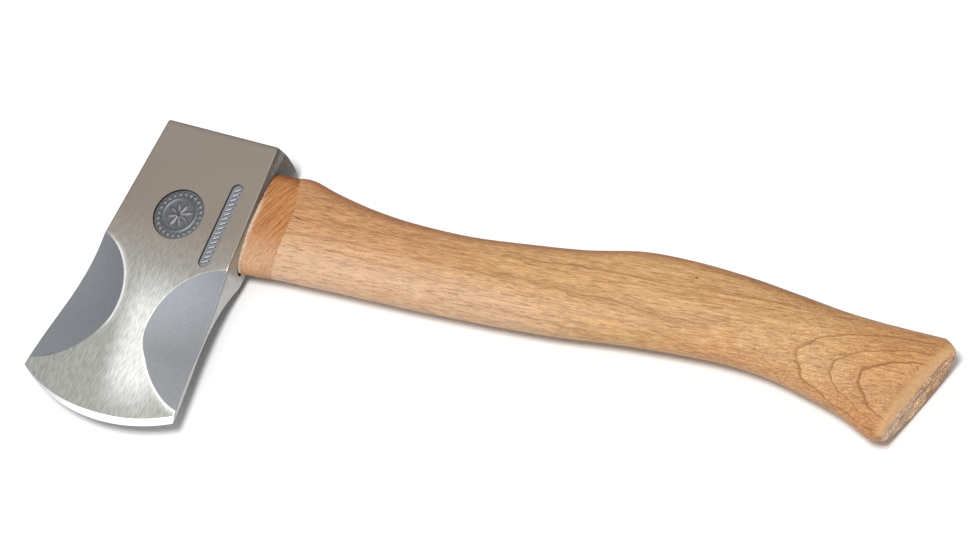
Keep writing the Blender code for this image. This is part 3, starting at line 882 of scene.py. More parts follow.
def butt_rings():
    """The cut edge round the butt, from the end of the grip to the rim of the sawn face."""
    upper, lower, along, outward, half_width = butt_frame()
    shift = outward * BUTT_CHAMFER
    inward = along * BUTT_CHAMFER
    corner = ring(upper + shift, lower + shift, half_width, 0.0, GRIP_ROUNDNESS)
    half = half_width - BUTT_CHAMFER_SIDE
    rim = ring(upper + shift - inward, lower + shift + inward, half, 0.0, GRIP_ROUNDNESS)
    start = grip_ring(len(GRIP_STATIONS) - 1 - BUTT_CUT)
    rings = []
    for step in range(1, BUTT_CUT_STEPS + 1):
        share = step / BUTT_CUT_STEPS
        points = []
        for near, edge, far in zip(start, corner, rim):
            middle = mix(mix(near, far, 0.5), edge, BUTT_CORNER)
            point = mix(mix(near, middle, share), mix(middle, far, share), share)
            points.append(mix(point, eased(point, outward), share))
        rings.append(points)
    return rings


def roughen(rings):
    """The small unevenness that hand shaping leaves in the grip."""
    for points in rings:
        centre = sum(points, Vector()) / len(points)
        for point in points:
            if point.x < FACET_LINE[0]:
                continue
            outward = Vector((0.0, point.y - centre.y, point.z)).normalized()
            dent = noise.noise(point * Vector(DENT_WAVES))
            point += outward * (DENT_DEPTH * dent - DENT_SINK)


def eased(point, outward):
    """A point of the butt's end, drawn back where the end is planed."""
    return point - outward * EASED_SLOPE * max(0.0, point.z - EASED_Z)


def add_sawn_face(shape, rim, outward, depth):
    """Close a rim with rings of small, uneven saw marks."""
    across, along = SAW_WAVES
    centre = sum((vert.co for vert in rim), Vector()) / len(rim)
    near = rim
    for step in range(1, SAWN_RINGS):
        share = step / SAWN_RINGS
        points = []
        for vert in rim:
            point = mix(vert.co, centre, share)
            saw = noise.noise(Vector((point.y * across, point.z * along, point.x * across)))
            grit = noise.noise(point * SAW_GRIT)
            rough = depth * smooth(EASED_FADE - (point.z - EASED_Z))
            marks = SAW_MIX[0] + SAW_MIX[1] * saw + SAW_MIX[2] * grit
            points.append(point - outward * rough * marks)
        far = add_loop(shape, points)
        bridge(shape, near, far, SAWN_WOOD)
        near = far
    fan(shape, near, shape.verts.new(centre - outward * depth * SAW_MIX[0]), SAWN_WOOD)


def tapered_block(start_x, length, width, thick, thin, cuts=0):
    """A block that thins from its start along +x, centred on y = 0 and z = 0."""
    shape = bmesh.new()
    bmesh.ops.create_cube(shape, size=1.0)
    if cuts:
        bmesh.ops.subdivide_edges(shape, edges=shape.edges[:], cuts=cuts, use_grid_fill=True)
    for vert in shape.verts:
        thickness = mix(thick, thin, vert.co.x + 0.5)
        vert.co = Vector((
            start_x + (vert.co.x + 0.5) * length,
            vert.co.y * width,
            vert.co.z * thickness,
        ))
    return shape


def slot_shape(depth, width, slope, thick):
    """A slot for a wedge: the wedge's own taper, carried past the end of the tongue, plus the gap."""
    wide = thick + slope * SLOT_OVERRUN + 2.0 * GAP
    narrow = thick - slope * depth + 2.0 * GAP
    return tapered_block(-SLOT_OVERRUN, depth + SLOT_OVERRUN, width, wide, narrow)


def set_in_eye(shape, y, proud, turn=0.0):
    """Turn a wedge about its length, lean its thick end along the eye's top at y and stand it proud."""
    lean = Matrix((
        (1.0, TOP_DRAFT, 0.0, top_side_x(-y) - proud),
        (0.0, 1.0, 0.0, y),
        (0.0, 0.0, 1.0, 0.0),
        (0.0, 0.0, 0.0, 1.0),
    ))
    bmesh.ops.transform(shape, matrix=lean @ Matrix.Rotation(turn, 4, "X"), verts=shape.verts)
    return shape


def build_kerf_cutter(materials):
    """The saw cut down the tongue."""
    slope = (WOOD_WEDGE_THICK - WOOD_WEDGE_THIN) / WOOD_WEDGE_DEPTH
    shape = slot_shape(KERF_DEPTH, KERF_WIDTH, slope, WOOD_WEDGE_THICK)
    return add_object("kerf_cutter", set_in_eye(shape, EYE_CENTRE_Y, WOOD_WEDGE_PROUD), materials)


def build_slot_cutter(materials):
    """The split that the steel wedge makes in the tongue and in the wooden wedge."""
    slope = (STEEL_WEDGE_THICK - STEEL_WEDGE_THIN) / STEEL_WEDGE_DEPTH
    shape = slot_shape(
        STEEL_WEDGE_DEPTH + GAP, STEEL_WEDGE_WIDTH + 2.0 * GAP, slope, STEEL_WEDGE_THICK
    )
    set_in_eye(shape, STEEL_WEDGE_Y, STEEL_WEDGE_PROUD, STEEL_WEDGE_TURN)
    return add_object("slot_cutter", shape, materials)


def build_handle(wood, sawn_wood, shoulder_wood):
    """The handle: tongue, shoulder facet, grip and sawn butt."""
    rings, facet_start = handle_rings()
    rings += butt_rings()
    roughen(rings[:-1])
    shape = bmesh.new()
    loops = [add_loop(shape, points) for points in rings]
    for index, (near, far) in enumerate(zip(loops, loops[1:])):
        on_facet = facet_start - 1 <= index < facet_start + FACET_RINGS
        bridge(shape, near, far, SHOULDER_WOOD if on_facet else PLAIN_WOOD)
    add_sawn_face(shape, loops[-1], butt_frame()[3], BUTT_SAW_DEPTH)
    add_sawn_face(shape, list(reversed(loops[0])), Vector((-1.0, 0.0, 0.0)), TONGUE_SAW_DEPTH)
    handle = add_object("handle_fine", shape, [wood, sawn_wood, shoulder_wood])
    cut_away(handle, [build_kerf_cutter([wood]), build_slot_cutter([wood])])
    shade_round(handle, SHARPEST_WOOD_ANGLE)
    return handle


def build_crushed_fibres(material):
    """Torn fibres along the lip of the shoulder, where the head was driven on."""
    chance = random.Random(FIBRE_SEED)
    shape = bmesh.new()
    lip = lip_ring()
    for _ in range(FIBRE_COUNT):
        share = chance.choice(FIBRE_PLACES)
        index = int(RING_POINTS * (share + chance.uniform(-FIBRE_SPREAD, FIBRE_SPREAD)))
        if chance.random() < FIBRES_BELOW:
            index = -index
        root = lip[index]
        outward = Vector((0.0, root.y - EYE_CENTRE_Y, root.z)).normalized()
        along = (lip[(index + 1) % RING_POINTS] - root).normalized()
        lean = outward * chance.uniform(*FIBRE_OUT) + along * chance.uniform(*FIBRE_ASIDE)
        lean += Vector((chance.uniform(*FIBRE_ON), 0.0, 0.0))
        lean.normalize()
        length = chance.uniform(*FIBRE_LENGTH)
        wide = lean.cross(outward).normalized() * chance.uniform(*FIBRE_HALF_WIDTH)
        thick = lean.cross(wide).normalized() * chance.uniform(*FIBRE_HALF_THICKNESS)
        start = root + outward * LIP_CLEAR - lean * FIBRE_ROOT + along * chance.uniform(*FIBRE_SHIFT)
        base = [start + wide + thick, start - wide + thick, start - wide - thick, start + wide - thick]
        tip = start + lean * length + outward * FIBRE_LIFT
        end = [tip + (point - start) * FIBRE_TIP for point in base]
        loops = [add_loop(shape, base), add_loop(shape, end)]
        skin(shape, loops)
        cap_both(shape, loops)
    return add_object("crushed_fibres", shape, [material])


def crush(shape, depth, waves):
    """Dent a wedge's driven end unevenly."""
    for vert in shape.verts:
        if vert.co.x < WEDGE_HEAD_X:
            vert.co.x += depth * abs(noise.noise(vert.co * waves))


def build_wood_wedge(pale_wood):
    """The hardwood wedge, its driven end a little crushed."""
    shape = tapered_block(
        0.0, WOOD_WEDGE_DEPTH, WOOD_WEDGE_WIDTH, WOOD_WEDGE_THICK, WOOD_WEDGE_THIN, WOOD_WEDGE_CUTS
    )
    crush(shape, *WOOD_CRUSH)
    set_in_eye(shape, EYE_CENTRE_Y, WOOD_WEDGE_PROUD)
    wedge = add_object("wood_wedge_fine", shape, [pale_wood])
    cut_away(wedge, [build_slot_cutter([pale_wood])])
    shade_round(wedge, SHARPEST_WEDGE_ANGLE)
    return wedge


def build_steel_wedge(dark_steel):
    """The steel wedge, its driven end burred by the hammer."""
    shape = tapered_block(
        0.0, STEEL_WEDGE_DEPTH, STEEL_WEDGE_WIDTH, STEEL_WEDGE_THICK, STEEL_WEDGE_THIN, STEEL_WEDGE_CUTS
    )
    depth, waves = STEEL_WAVER
    for vert in shape.verts:
        vert.co.y += depth * noise.noise(vert.co * waves)
    crush(shape, *STEEL_CRUSH)
    set_in_eye(shape, STEEL_WEDGE_Y, STEEL_WEDGE_PROUD, STEEL_WEDGE_TURN)
    wedge = add_object("steel_wedge_fine", shape, [dark_steel])
    bevel = wedge.modifiers.new("worn_edges", "BEVEL")
    bevel.width = STEEL_WEDGE_BEVEL * MM
    bevel.segments = 2
    bevel.limit_method = "ANGLE"
    shade_round(wedge, SHARPEST_WEDGE_ANGLE)
    return wedge


# ---------------------------------------------------------------------------------- material helpers

class Value:
    """What a node gives: a number, a colour or a vector. Arithmetic on a number makes math nodes."""

    def __init__(self, nodes, socket):
        self.nodes = nodes
        self.socket = socket

    def __add__(self, other):
        return self.nodes.math("ADD", self, other)

    def __sub__(self, other):
        return self.nodes.math("SUBTRACT", self, other)

    def __rsub__(self, other):
        return self.nodes.math("SUBTRACT", other, self)

    def __mul__(self, other):
        return self.nodes.math("MULTIPLY", self, other)

    def __truediv__(self, other):
        return self.nodes.math("DIVIDE", self, other)

    def __pow__(self, other):
        return self.nodes.math("POWER", self, other)

    def __abs__(self):
        return self.nodes.math("ABSOLUTE", self)

    def at_least(self, limit):
        """The larger of this and a limit."""
        return self.nodes.math("MAXIMUM", self, limit)

    def at_most(self, limit):
        """The smaller of this and a limit."""
        return self.nodes.math("MINIMUM", self, limit)


class Nodes:
    """Short calls for the nodes that the finishes and the sky share."""

    def __init__(self, tree):
        self.tree = tree

    def feed(self, socket, value):
        """Link a socket, or set it; a colour is given as three numbers."""
        if isinstance(value, Value):
            self.tree.links.new(value.socket, socket)
        elif socket.type == "RGBA":
            socket.default_value = (*value, 1.0)
        else:
            socket.default_value = value

    def make(self, kind, values, output=0, **settings):
        """An output of a new node with these settings and input values."""
        node = self.tree.nodes.new("ShaderNode" + kind)
        for name, setting in settings.items():
            setattr(node, name, setting)
        for name, value in values.items():
            self.feed(node.inputs[name], value)
        return Value(self, node.outputs[output])

    def split(self, vector):
        """The three values of a vector."""
        node = self.tree.nodes.new("ShaderNodeSeparateXYZ")
        self.feed(node.inputs[0], vector)
        return [Value(self, socket) for socket in node.outputs]

    def math(self, operation, first, second=0.0):
        """A math node."""
        return self.make("Math", {0: first, 1: second}, operation=operation)

    def step(self, value, low, high, start=0.0, end=1.0, kind="SMOOTHSTEP"):
        """A step of a value from start, at low, to end, at high: smooth unless another kind is named."""
        values = {0: value, 1: low, 2: high, 3: start, 4: end}
        return self.make("MapRange", values, interpolation_type=kind)

    def blend(self, share, first, second, kind="MIX"):
        """A colour blended from two."""
        return self.make("Mix", {0: share, 6: first, 7: second}, 2, data_type="RGBA", blend_type=kind)

    def shade(self, colour, value, share=1.0):
        """A colour made darker or lighter by a value or by a colour."""
        return self.blend(share, colour, value, "MULTIPLY")

    def ramp(self, value, stops):
        """A colour ramp through (place, colour) stops."""
        node = self.tree.nodes.new("ShaderNodeValToRGB")
        elements = node.color_ramp.elements
        for _ in stops[2:]:
            elements.new(0.5)
        for element, (place, colour) in zip(elements, stops):
            element.position = place
            element.color = (*colour, 1.0)
        self.feed(node.inputs[0], value)
        return Value(self, node.outputs[0])


class Finish(Nodes):
    """A material under construction, over places in millimetres."""

    def __init__(self, name, metallic, specular=0.5):
        self.material = bpy.data.materials.new(name)
        self.material.use_nodes = True
        super().__init__(self.material.node_tree)
        self.shader = self.tree.nodes["Principled BSDF"]
        self.shader.inputs["Metallic"].default_value = metallic
        self.shader.inputs["Specular IOR Level"].default_value = specular
        metres = self.make("TexCoord", {}, "Object")
        self.place = self.make("VectorMath", {0: metres, "Scale": 1.0 / MM}, operation="SCALE")
        self.x, self.y, self.z = self.split(self.place)
        self.normal_x, self.normal_y, _ = self.split(self.make("TexCoord", {}, "Normal"))

    def noise(self, cycles, detail=3.0, rough=0.55, place=None):
        """Noise with so many cycles to the millimetre: along x, y and z, or the same for all three."""
        if isinstance(cycles, float):
            cycles = (cycles, cycles, cycles)
        scaled = self.make("VectorMath", {0: place or self.place, 1: cycles}, operation="MULTIPLY")
        values = {"Vector": scaled, "Scale": 1.0, "Detail": detail, "Roughness": rough}
        return self.make("TexNoise", values)

    def bump(self, height, depth_mm, strength):
        """A normal from a height that runs from 0 to 1 over so many millimetres."""
        values = {"Strength": strength, "Distance": depth_mm * MM, "Height": height}
        self.feed(self.shader.inputs["Normal"], self.make("Bump", values))

    def finish(self, colour, rough):
        """Set the colour and roughness and hand the material over."""
        self.feed(self.shader.inputs["Base Color"], colour)
        self.feed(self.shader.inputs["Roughness"], rough)
        return self.material


# -------------------------------------------------------------------------------------------- finishes

def scoop_distance(steel, scoop):
    """Positive inside a scoop's rim, zero on it and negative outside, from the rim's own formula."""
    centre_x, centre_y, half_x, half_y, lower_power = scoop
    across = (steel.x - centre_x) / half_x
    down = (centre_y - steel.y) / half_y
    power = steel.step(down, 0.0, 0.5, 2.0, lower_power)
    return 1.0 - (abs(across) ** power + abs(down) ** power)


def cheek_steel_with_painted_sheen(steel, streaks, fine, inside):
    """The ground part of the cheeks, darker towards the poll, with a painted sheen down the middle of the
    blade and painted highlights along the scoop rims.
    """
    x, y = steel.x, steel.y
    block = steel.blend(steel.noise(0.05, detail=2.0), (0.312, 0.262, 0.222), (0.345, 0.294, 0.252))
    colour = steel.blend(steel.step(y, -40.0, -78.0), block, (0.440, 0.436, 0.404))
    # Painted sheen: a near-white band down the middle of the blade stands in for the light the steel
    # reflects there.
    across = x + y * 0.16
    painted_sheen_band = steel.step(across, -54.0, -41.0) * steel.step(across, -19.0, -34.0)
    along = steel.step(y, -62.0, -90.0) * steel.step(y, -134.0, -112.0)
    colour = steel.blend(painted_sheen_band * along * 0.80, colour, (0.97, 0.99, 0.95))

    worn = steel.step(y, -30.0, -70.0, 0.12, 1.0)
    colour = steel.shade(colour, steel.step(streaks, 0.30, 0.70, 0.96, 1.04), worn)
    colour = steel.shade(colour, steel.step(fine, 0.32, 0.68, 0.87, 1.14), worn)

    # Painted highlights: thin near-white lines and a soft glow along parts of the scoop rims stand in for
    # light caught on those creases.
    ragged = inside + (streaks - 0.5) * 0.09
    line = steel.step(ragged, -0.075, -0.015) * steel.step(ragged, 0.02, 0.0)
    painted_rim_glow = steel.step(inside, -0.20, -0.02) * 0.35
    top_arc = steel.step(y, -54.0, -66.0) * steel.step(y, -104.0, -88.0)
    lower_arc = steel.step(y, -94.0, -110.0)
    bright = mix(lower_arc, top_arc, steel.step(x, -24.0, -32.0))
    rim = ((line + painted_rim_glow) * bright).at_most(0.95)
    return steel.blend(rim, colour, (0.98, 0.98, 0.96))


def satin_steel(steel, grain):
    """The scoops: bluish, with a fine blasted grain; the underside scoop is painted darker towards its
    upper end, a painted shade that evens out the lamp's reflection there.
    """
    top = steel.blend(steel.step(steel.y, -60.0, -110.0), (0.315, 0.328, 0.355), (0.305, 0.318, 0.342))
    # Painted shade: the underside scoop's colour is darker at its upper end than at its lower end.
    under = steel.blend(steel.step(steel.y, -60.0, -112.0), (0.302, 0.313, 0.336), (0.325, 0.334, 0.350))
    satin = steel.blend(steel.step(steel.x, -45.0, -25.0), top, under)
    return steel.shade(satin, steel.step(grain, 0.3, 0.7, 0.92, 1.08))


def make_head_steel():
    """The cheeks: brushed along the head with a painted sheen and painted rim highlights, satin in the
    scoops, and along the sharpened band a ground finish painted near white as a painted highlight.
    """
    steel = Finish("head_steel_brushed_painted_sheen", metallic=1.0)
    streaks = steel.noise((2.0, 0.22, 0.5), detail=1.0, rough=0.5)
    fine = steel.noise((2.7, 0.30, 0.5), detail=0.0)
    grain = steel.noise(1.9, detail=1.0, rough=0.7)
    inside = scoop_distance(steel, TOP_SCOOP).at_least(scoop_distance(steel, UNDERSIDE_SCOOP))
    in_scoop = steel.step(inside, 0.0, 0.012)
    colour = cheek_steel_with_painted_sheen(steel, streaks, fine, inside)
    colour = steel.blend(in_scoop, colour, satin_steel(steel, grain))

    dx = steel.x - BIT_CENTRE[0]
    dy = steel.y - BIT_CENTRE[1]
    from_centre = (dx * dx + dy * dy) ** 0.5
    width = steel.step(steel.x, TOE_X - 6.0, BAND_FULL_X + 4.0, BAND_TOE_WIDTH, BAND_WIDTH)
    in_band = steel.step(from_centre + width, BIT_RADIUS - 0.1, BIT_RADIUS + 0.1)
    # Painted highlight: the sharpened band is ground bright, and it is also painted near white with little
    # metal so that it shines whatever light falls on it.
    ground = steel.blend(steel.step(steel.x, -62.0, -34.0), (0.62, 0.63, 0.64), (0.99, 0.99, 0.99))
    colour = steel.blend(in_band, colour, ground)
    steel.feed(steel.shader.inputs["Metallic"], steel.step(in_band, 0.0, 1.0, 1.0, 0.25))

    steel.bump(streaks * 0.7 + fine * 0.3 + grain * in_scoop, 0.02, 0.15)
    return steel.finish(colour, steel.step(in_scoop, 0.0, 1.0, 0.38, 0.68))


def make_side_steel():
    """The head's forged sides and poll: ground, darker, with a few marks of handling, and painted shade
    towards the poll and along their upper edge.
    """
    steel = Finish("head_steel_sides", metallic=1.0)
    grind = steel.noise((0.35, 0.35, 3.5), detail=4.0, rough=0.65)
    clouds = steel.noise(0.12)
    marks = steel.step(steel.noise(0.6, detail=6.0, rough=0.75), 0.60, 0.68)
    edge = steel.step(steel.z, 7.5, 9.5) * steel.step(grind, 0.35, 0.6, 0.4, 0.9)
    colour = steel.blend(clouds, (0.41, 0.415, 0.40), (0.55, 0.56, 0.545))
    # Painted shade: the sides are painted much darker towards the poll.
    colour = steel.blend(steel.step(steel.y, -40.0, -10.0), colour, (0.115, 0.102, 0.092))
    colour = steel.blend(marks * 0.5, colour, (0.62, 0.61, 0.58))
    # Painted shade: a dark line along the sides' upper edge, next to the cheek.
    colour = steel.blend(edge, colour, (0.29, 0.26, 0.235))
    colour = steel.shade(colour, steel.step(grind, 0.3, 0.7, 0.84, 1.12))
    steel.bump(grind, 0.04, 0.5)
    return steel.finish(colour, steel.step(clouds, 0.3, 0.7, 0.34, 0.5))


def make_stamp_steel():
    """The stamps: dull, with a pressed grain, brighter relief and painted shade on slopes that face the
    grip.
    """
    steel = Finish("head_steel_stamped", metallic=1.0)
    grain = steel.noise(1.6, detail=2.0, rough=0.7)
    rise = steel.z - steel.y * CHEEK_TAPER - POLL_THICKNESS / 2
    relief = steel.step(rise, -0.48, -0.28) * steel.step(rise, -0.08, -0.16)
    painted_shade = steel.step(steel.normal_x * 0.93 - steel.normal_y * 0.37, 0.22, 0.60)
    colour = steel.ramp(grain, ((0.3, (0.150, 0.156, 0.168)), (0.7, (0.250, 0.258, 0.274))))
    colour = steel.blend(relief * 0.70, colour, (0.38, 0.38, 0.395))
    # Painted shade: slopes that face the grip are painted nearly black.
    colour = steel.blend(painted_shade * 0.8, colour, (0.02, 0.02, 0.022))
    colour = steel.shade(colour, steel.step(steel.x, -18.0, -13.0, 0.76, 1.35))
    steel.bump(grain, 0.06, 0.6)
    return steel.finish(colour, 0.5)


def make_eye_steel():
    """The inside of the eye: dark scale."""
    steel = Finish("eye_scale", metallic=0.6)
    grain = steel.noise(0.9, detail=5.0, rough=0.7)
    colour = steel.ramp(grain, ((0.3, (0.03, 0.028, 0.026)), (0.7, (0.09, 0.08, 0.07))))
    steel.bump(grain, 0.1, 0.6)
    return steel.finish(colour, 0.7)


def make_wedge_steel():
    """The steel wedge: dark, with bright bruises on its driven end."""
    steel = Finish("wedge_steel_struck", metallic=1.0)
    grain = steel.noise(1.2, detail=5.0, rough=0.7)
    bruise = steel.step(steel.noise(0.7, detail=2.0), 0.5, 0.62)
    colour = steel.ramp(grain, ((0.3, (0.10, 0.10, 0.10)), (0.7, (0.24, 0.24, 0.245))))
    colour = steel.blend(bruise * 0.6, colour, (0.5, 0.5, 0.49))
    steel.bump(grain, 0.08, 0.7)
    return steel.finish(colour, steel.step(grain, 0.3, 0.7, 0.38, 0.6))


def ring_number(wood):
    """Which growth ring a point of the wood lies in, as a number that rises away from the axis."""
    wander = wood.noise((0.016, 0.05, 0.05), detail=2.0)
    wiggle = wood.noise((0.09, 0.13, 0.08), detail=2.0, rough=0.5)
    x = wood.x + (wiggle - 0.5) * GRAIN_WANDER
    y = wood.y + (wander - 0.5) * GRAIN_WANDER
    before = (GRAIN_TURN_X - x).at_least(0.0)
    after = (x - GRAIN_TURN_X).at_least(0.0)
    offset = y - (GRAIN_Y - before * GRAIN_SLOPE - after * after / GRAIN_FALL)
    offset = offset.at_least(0.0) + offset.at_most(0.0) * LOWER_SQUEEZE
    arch = (x - ARCH_START_X).at_least(0.0)
    arch = arch * arch / (arch + ARCH_SOFTNESS)
    deep = (DEPTH_START_Z - wood.z).at_least(0.0)
    level = offset * offset - arch * ARCH_RATE - before * HEAD_RATE + deep * DEPTH_RATE

    low = RING_LEVELS[0]
    span = RING_LEVELS[-1] - low
    last = len(RING_LEVELS) - 1
    curve = wood.tree.nodes.new("ShaderNodeFloatCurve")
    points = curve.mapping.curves[0].points
    for _ in RING_LEVELS[2:]:
        points.new(0.5, 0.5)
    for index, (point, ring_level) in enumerate(zip(points, RING_LEVELS)):
        point.location = ((ring_level - low) / span, index / last)
        point.handle_type = "VECTOR"
    curve.mapping.update()
    wood.feed(curve.inputs["Value"], (level - low) / span)
    return Value(wood, curve.outputs[0]) * float(last)


def long_lines(wood):
    """Growth rings that run out along the grip: fine lines from one point to another, a little wavy."""
    sway = wood.noise((0.05, 0.1, 0.1), detail=2.0) * 4.0 - 2.0
    total = 0.0
    for start_x, start_y, end_x, end_y, strength in LONG_LINES:
        slope = (end_y - start_y) / (end_x - start_x)
        miss = abs(wood.y + sway - (wood.x * slope + (start_y - slope * start_x)))
        starts = wood.step(wood.x, start_x, start_x + LINE_FADES[0])
        ends = wood.step(wood.x, end_x, end_x - LINE_FADES[1], 0.0, strength)
        line = wood.step(miss, *LINE_EDGES) * starts * ends
        total = line.at_least(total)
    return total * wood.step(wood.z, -1.0, 1.0)


def wood_mark(wood, centre, half_long, half_wide, slope):
    """A soft spot on the upper side: 1 at its centre and 0 at its rim."""
    dx = wood.x - centre[0]
    across = (wood.y - centre[1] - dx * slope) / half_wide
    along = dx / half_long
    far = across * across + along * along
    return wood.step(far, 1.0, 0.2) * wood.step(wood.z, 0.0, 2.0)


def make_hickory():
    """The handle: pale orange hickory with growth rings, long fibres and short open pores."""
    wood = Finish("hickory_grain", metallic=0.0, specular=0.35)
    x, y, z = wood.x, wood.y, wood.z
    place = wood.make("CombineXYZ", {0: x, 1: y - x * GRAIN_SLOPE, 2: z})
    fibres = wood.noise((0.045, 0.6, 0.6), detail=4.0, rough=0.7, place=place)
    flecks = wood.noise((0.20, 2.1, 2.1), detail=2.0, rough=0.65, place=place)
    pores = wood.noise((0.13, 1.4, 1.4), detail=2.0, rough=0.6, place=place)
    pebble = wood.noise((1.1, 2.1, 2.1), detail=1.0, rough=0.7, place=place)
    bands = wood.noise((0.01, 0.22, 0.22), place=place)
    blotches = wood.noise((0.012, 0.05, 0.05))
    in_ring = wood.math("FRACT", ring_number(wood))

    # Rings and faint bands along the grain, blotches, redder lower faces at the flare, and the lower side
    # near the head painted paler and pinker, a painted light
    base = wood.ramp(in_ring, (
        (0.0, (0.515, 0.282, 0.115)),
        (0.30, (0.545, 0.308, 0.130)),
        (1.0, (0.585, 0.345, 0.155)),
    ))
    contour = wood.math("FRACT", bands * 11.0)
    line = wood.step(abs(contour - 0.5), 0.12, 0.0) * wood.step(blotches, 0.38, 0.60, 0.20, 0.62)
    base = wood.blend(line * wood.step(x, 262.0, 225.0, 0.2, 1.0), base, (0.330, 0.150, 0.050))
    base = wood.shade(base, wood.step(bands, 0.3, 0.7, 0.88, 1.10))
    # Painted light: the lower side near the head is painted paler and pinker.
    pink_painted_light = wood.step(y, -28.0, -48.0) * wood.step(x, 190.0, 100.0)
    base = wood.blend(pink_painted_light * 0.80, base, (0.715, 0.478, 0.345))
    base = wood.blend(wood.step(blotches, 0.4, 0.7, 0.0, 0.35), base, (0.49, 0.245, 0.09))
    red = wood.step(wood.normal_y, -0.30, -0.75) * wood.step(x, 170.0, 220.0)
    base = wood.blend(red * 0.55, base, (0.60, 0.29, 0.135))

    # Fibres, flecks and the coarser grain of the flared end
    base = wood.shade(base, wood.step(fibres, 0.3, 0.7, 0.87, 1.10))
    base = wood.shade(base, wood.step(flecks, 0.28, 0.52, 0.72, 1.0))
    base = wood.blend(wood.step(flecks, 0.48, 0.70, 0.0, 0.60), base, (0.73, 0.48, 0.245))
    coarse = wood.step(x, 200.0, 250.0, 0.35, 0.8)
    base = wood.shade(base, wood.step(pebble, 0.28, 0.72, 0.76, 1.24), coarse)

    # Dark ring lines and pores
    arches = wood.step(x, 238.0, 250.0, 0.15, 0.80)
    ring_edge = wood.step(in_ring, 0.085, 0.005).at_least(wood.step(in_ring, 0.97, 0.99))
    lines = long_lines(wood).at_least(ring_edge * arches)
    base = wood.blend(lines, base, (0.290, 0.120, 0.036))
    pore_mask = wood.step(pores, 0.58, 0.68)
    base = wood.blend(pore_mask * 0.55, base, (0.25, 0.105, 0.035))

    # Painted shade along the upper side, darker at the butt, and a little redder next to the head
    # Painted shade: faces that turn towards the upper side are painted darker.
    upper_side_painted_shade = wood.step(wood.normal_y, 0.32, 0.76) * wood.step(x, 268.0, 236.0, 0.25, 1.0)
    base = wood.shade(base, (0.62, 0.44, 0.28), upper_side_painted_shade)
    base = wood.shade(base, (0.90, 0.79, 0.71), wood.step(x, 250.0, 282.0))
    ruddy = wood.step(x, 130.0, 60.0) * wood.step(y, -46.0, -28.0)
    base = wood.shade(base, (0.95, 0.86, 0.90), ruddy)

    for centre, half_long, half_wide, slope, strength in WOOD_MARKS:
        spot = wood_mark(wood, centre, half_long, half_wide, slope)
        base = wood.blend(spot * strength, base, (0.12, 0.045, 0.015))

    # The cut edge round the butt, pale on its upper side
    upper, _, _, outward, _ = butt_frame()
    out = x * outward.x + y * outward.y
    rim = upper.dot(outward)
    planed = wood.step(out, rim - 0.6, rim + 2.6) * wood.step(z, 1.0, 3.0)
    base = wood.blend(planed * 0.70, base, (0.74, 0.445, 0.205))

    wood.bump(fibres * 0.5 - pore_mask * 0.8, 0.05, 0.6)
    return wood.finish(base, wood.step(fibres, 0.3, 0.7, 0.48, 0.62))


def make_shoulder_wood():
    """The shoulder's cut face: darker, redder, with fibres torn slantwise across it, and painted shade on
    its upper side.
    """
    wood = Finish("hickory_shoulder", metallic=0.0, specular=0.3)
    place = wood.make("CombineXYZ", {0: wood.x - wood.y * 0.42, 1: wood.y, 2: wood.z})
    streaks = wood.noise((1.20, 0.07, 0.16), rough=0.70, place=place)
    fuzz = wood.noise((2.2, 0.45, 0.7), detail=2.0, rough=0.7, place=place)
    base = wood.ramp(streaks, (
        (0.30, (0.235, 0.078, 0.020)),
        (0.45, (0.405, 0.164, 0.053)),
        (0.60, (0.490, 0.218, 0.080)),
        (0.75, (0.570, 0.290, 0.130)),
    ))
    base = wood.blend(wood.step(wood.y, -34.0, -50.0) * 0.6, base, (0.65, 0.41, 0.255))
    base = wood.shade(base, wood.step(fuzz, 0.3, 0.7, 0.78, 1.20))
    lip = wood.step(wood.x + fuzz * 5.0, 7.4, 4.4) * wood.step(wood.y, -19.0, -30.0, 0.0, 0.8)
    base = wood.blend(lip, base, (0.80, 0.63, 0.51))
    # Painted shade: faces that turn towards the upper side are painted darker.
    base = wood.shade(base, (0.55, 0.37, 0.22), wood.step(wood.normal_y, 0.25, 0.74))
    wood.bump(streaks + fuzz, 0.25, 0.8)
    return wood.finish(base, 0.72)


def make_fibre():
    """Crushed fibres: nearly white, and brown at the upper end of the shoulder."""
    fibre = Finish("crushed_fibre", metallic=0.0, specular=0.3)
    tone = fibre.noise(1.0, detail=2.0)
    colour = fibre.ramp(tone, ((0.35, (0.62, 0.42, 0.24)), (0.6, (0.86, 0.78, 0.68))))
    colour = fibre.blend(fibre.step(fibre.y, -24.0, -14.0), colour, (0.40, 0.17, 0.05))
    return fibre.finish(colour, 0.8)


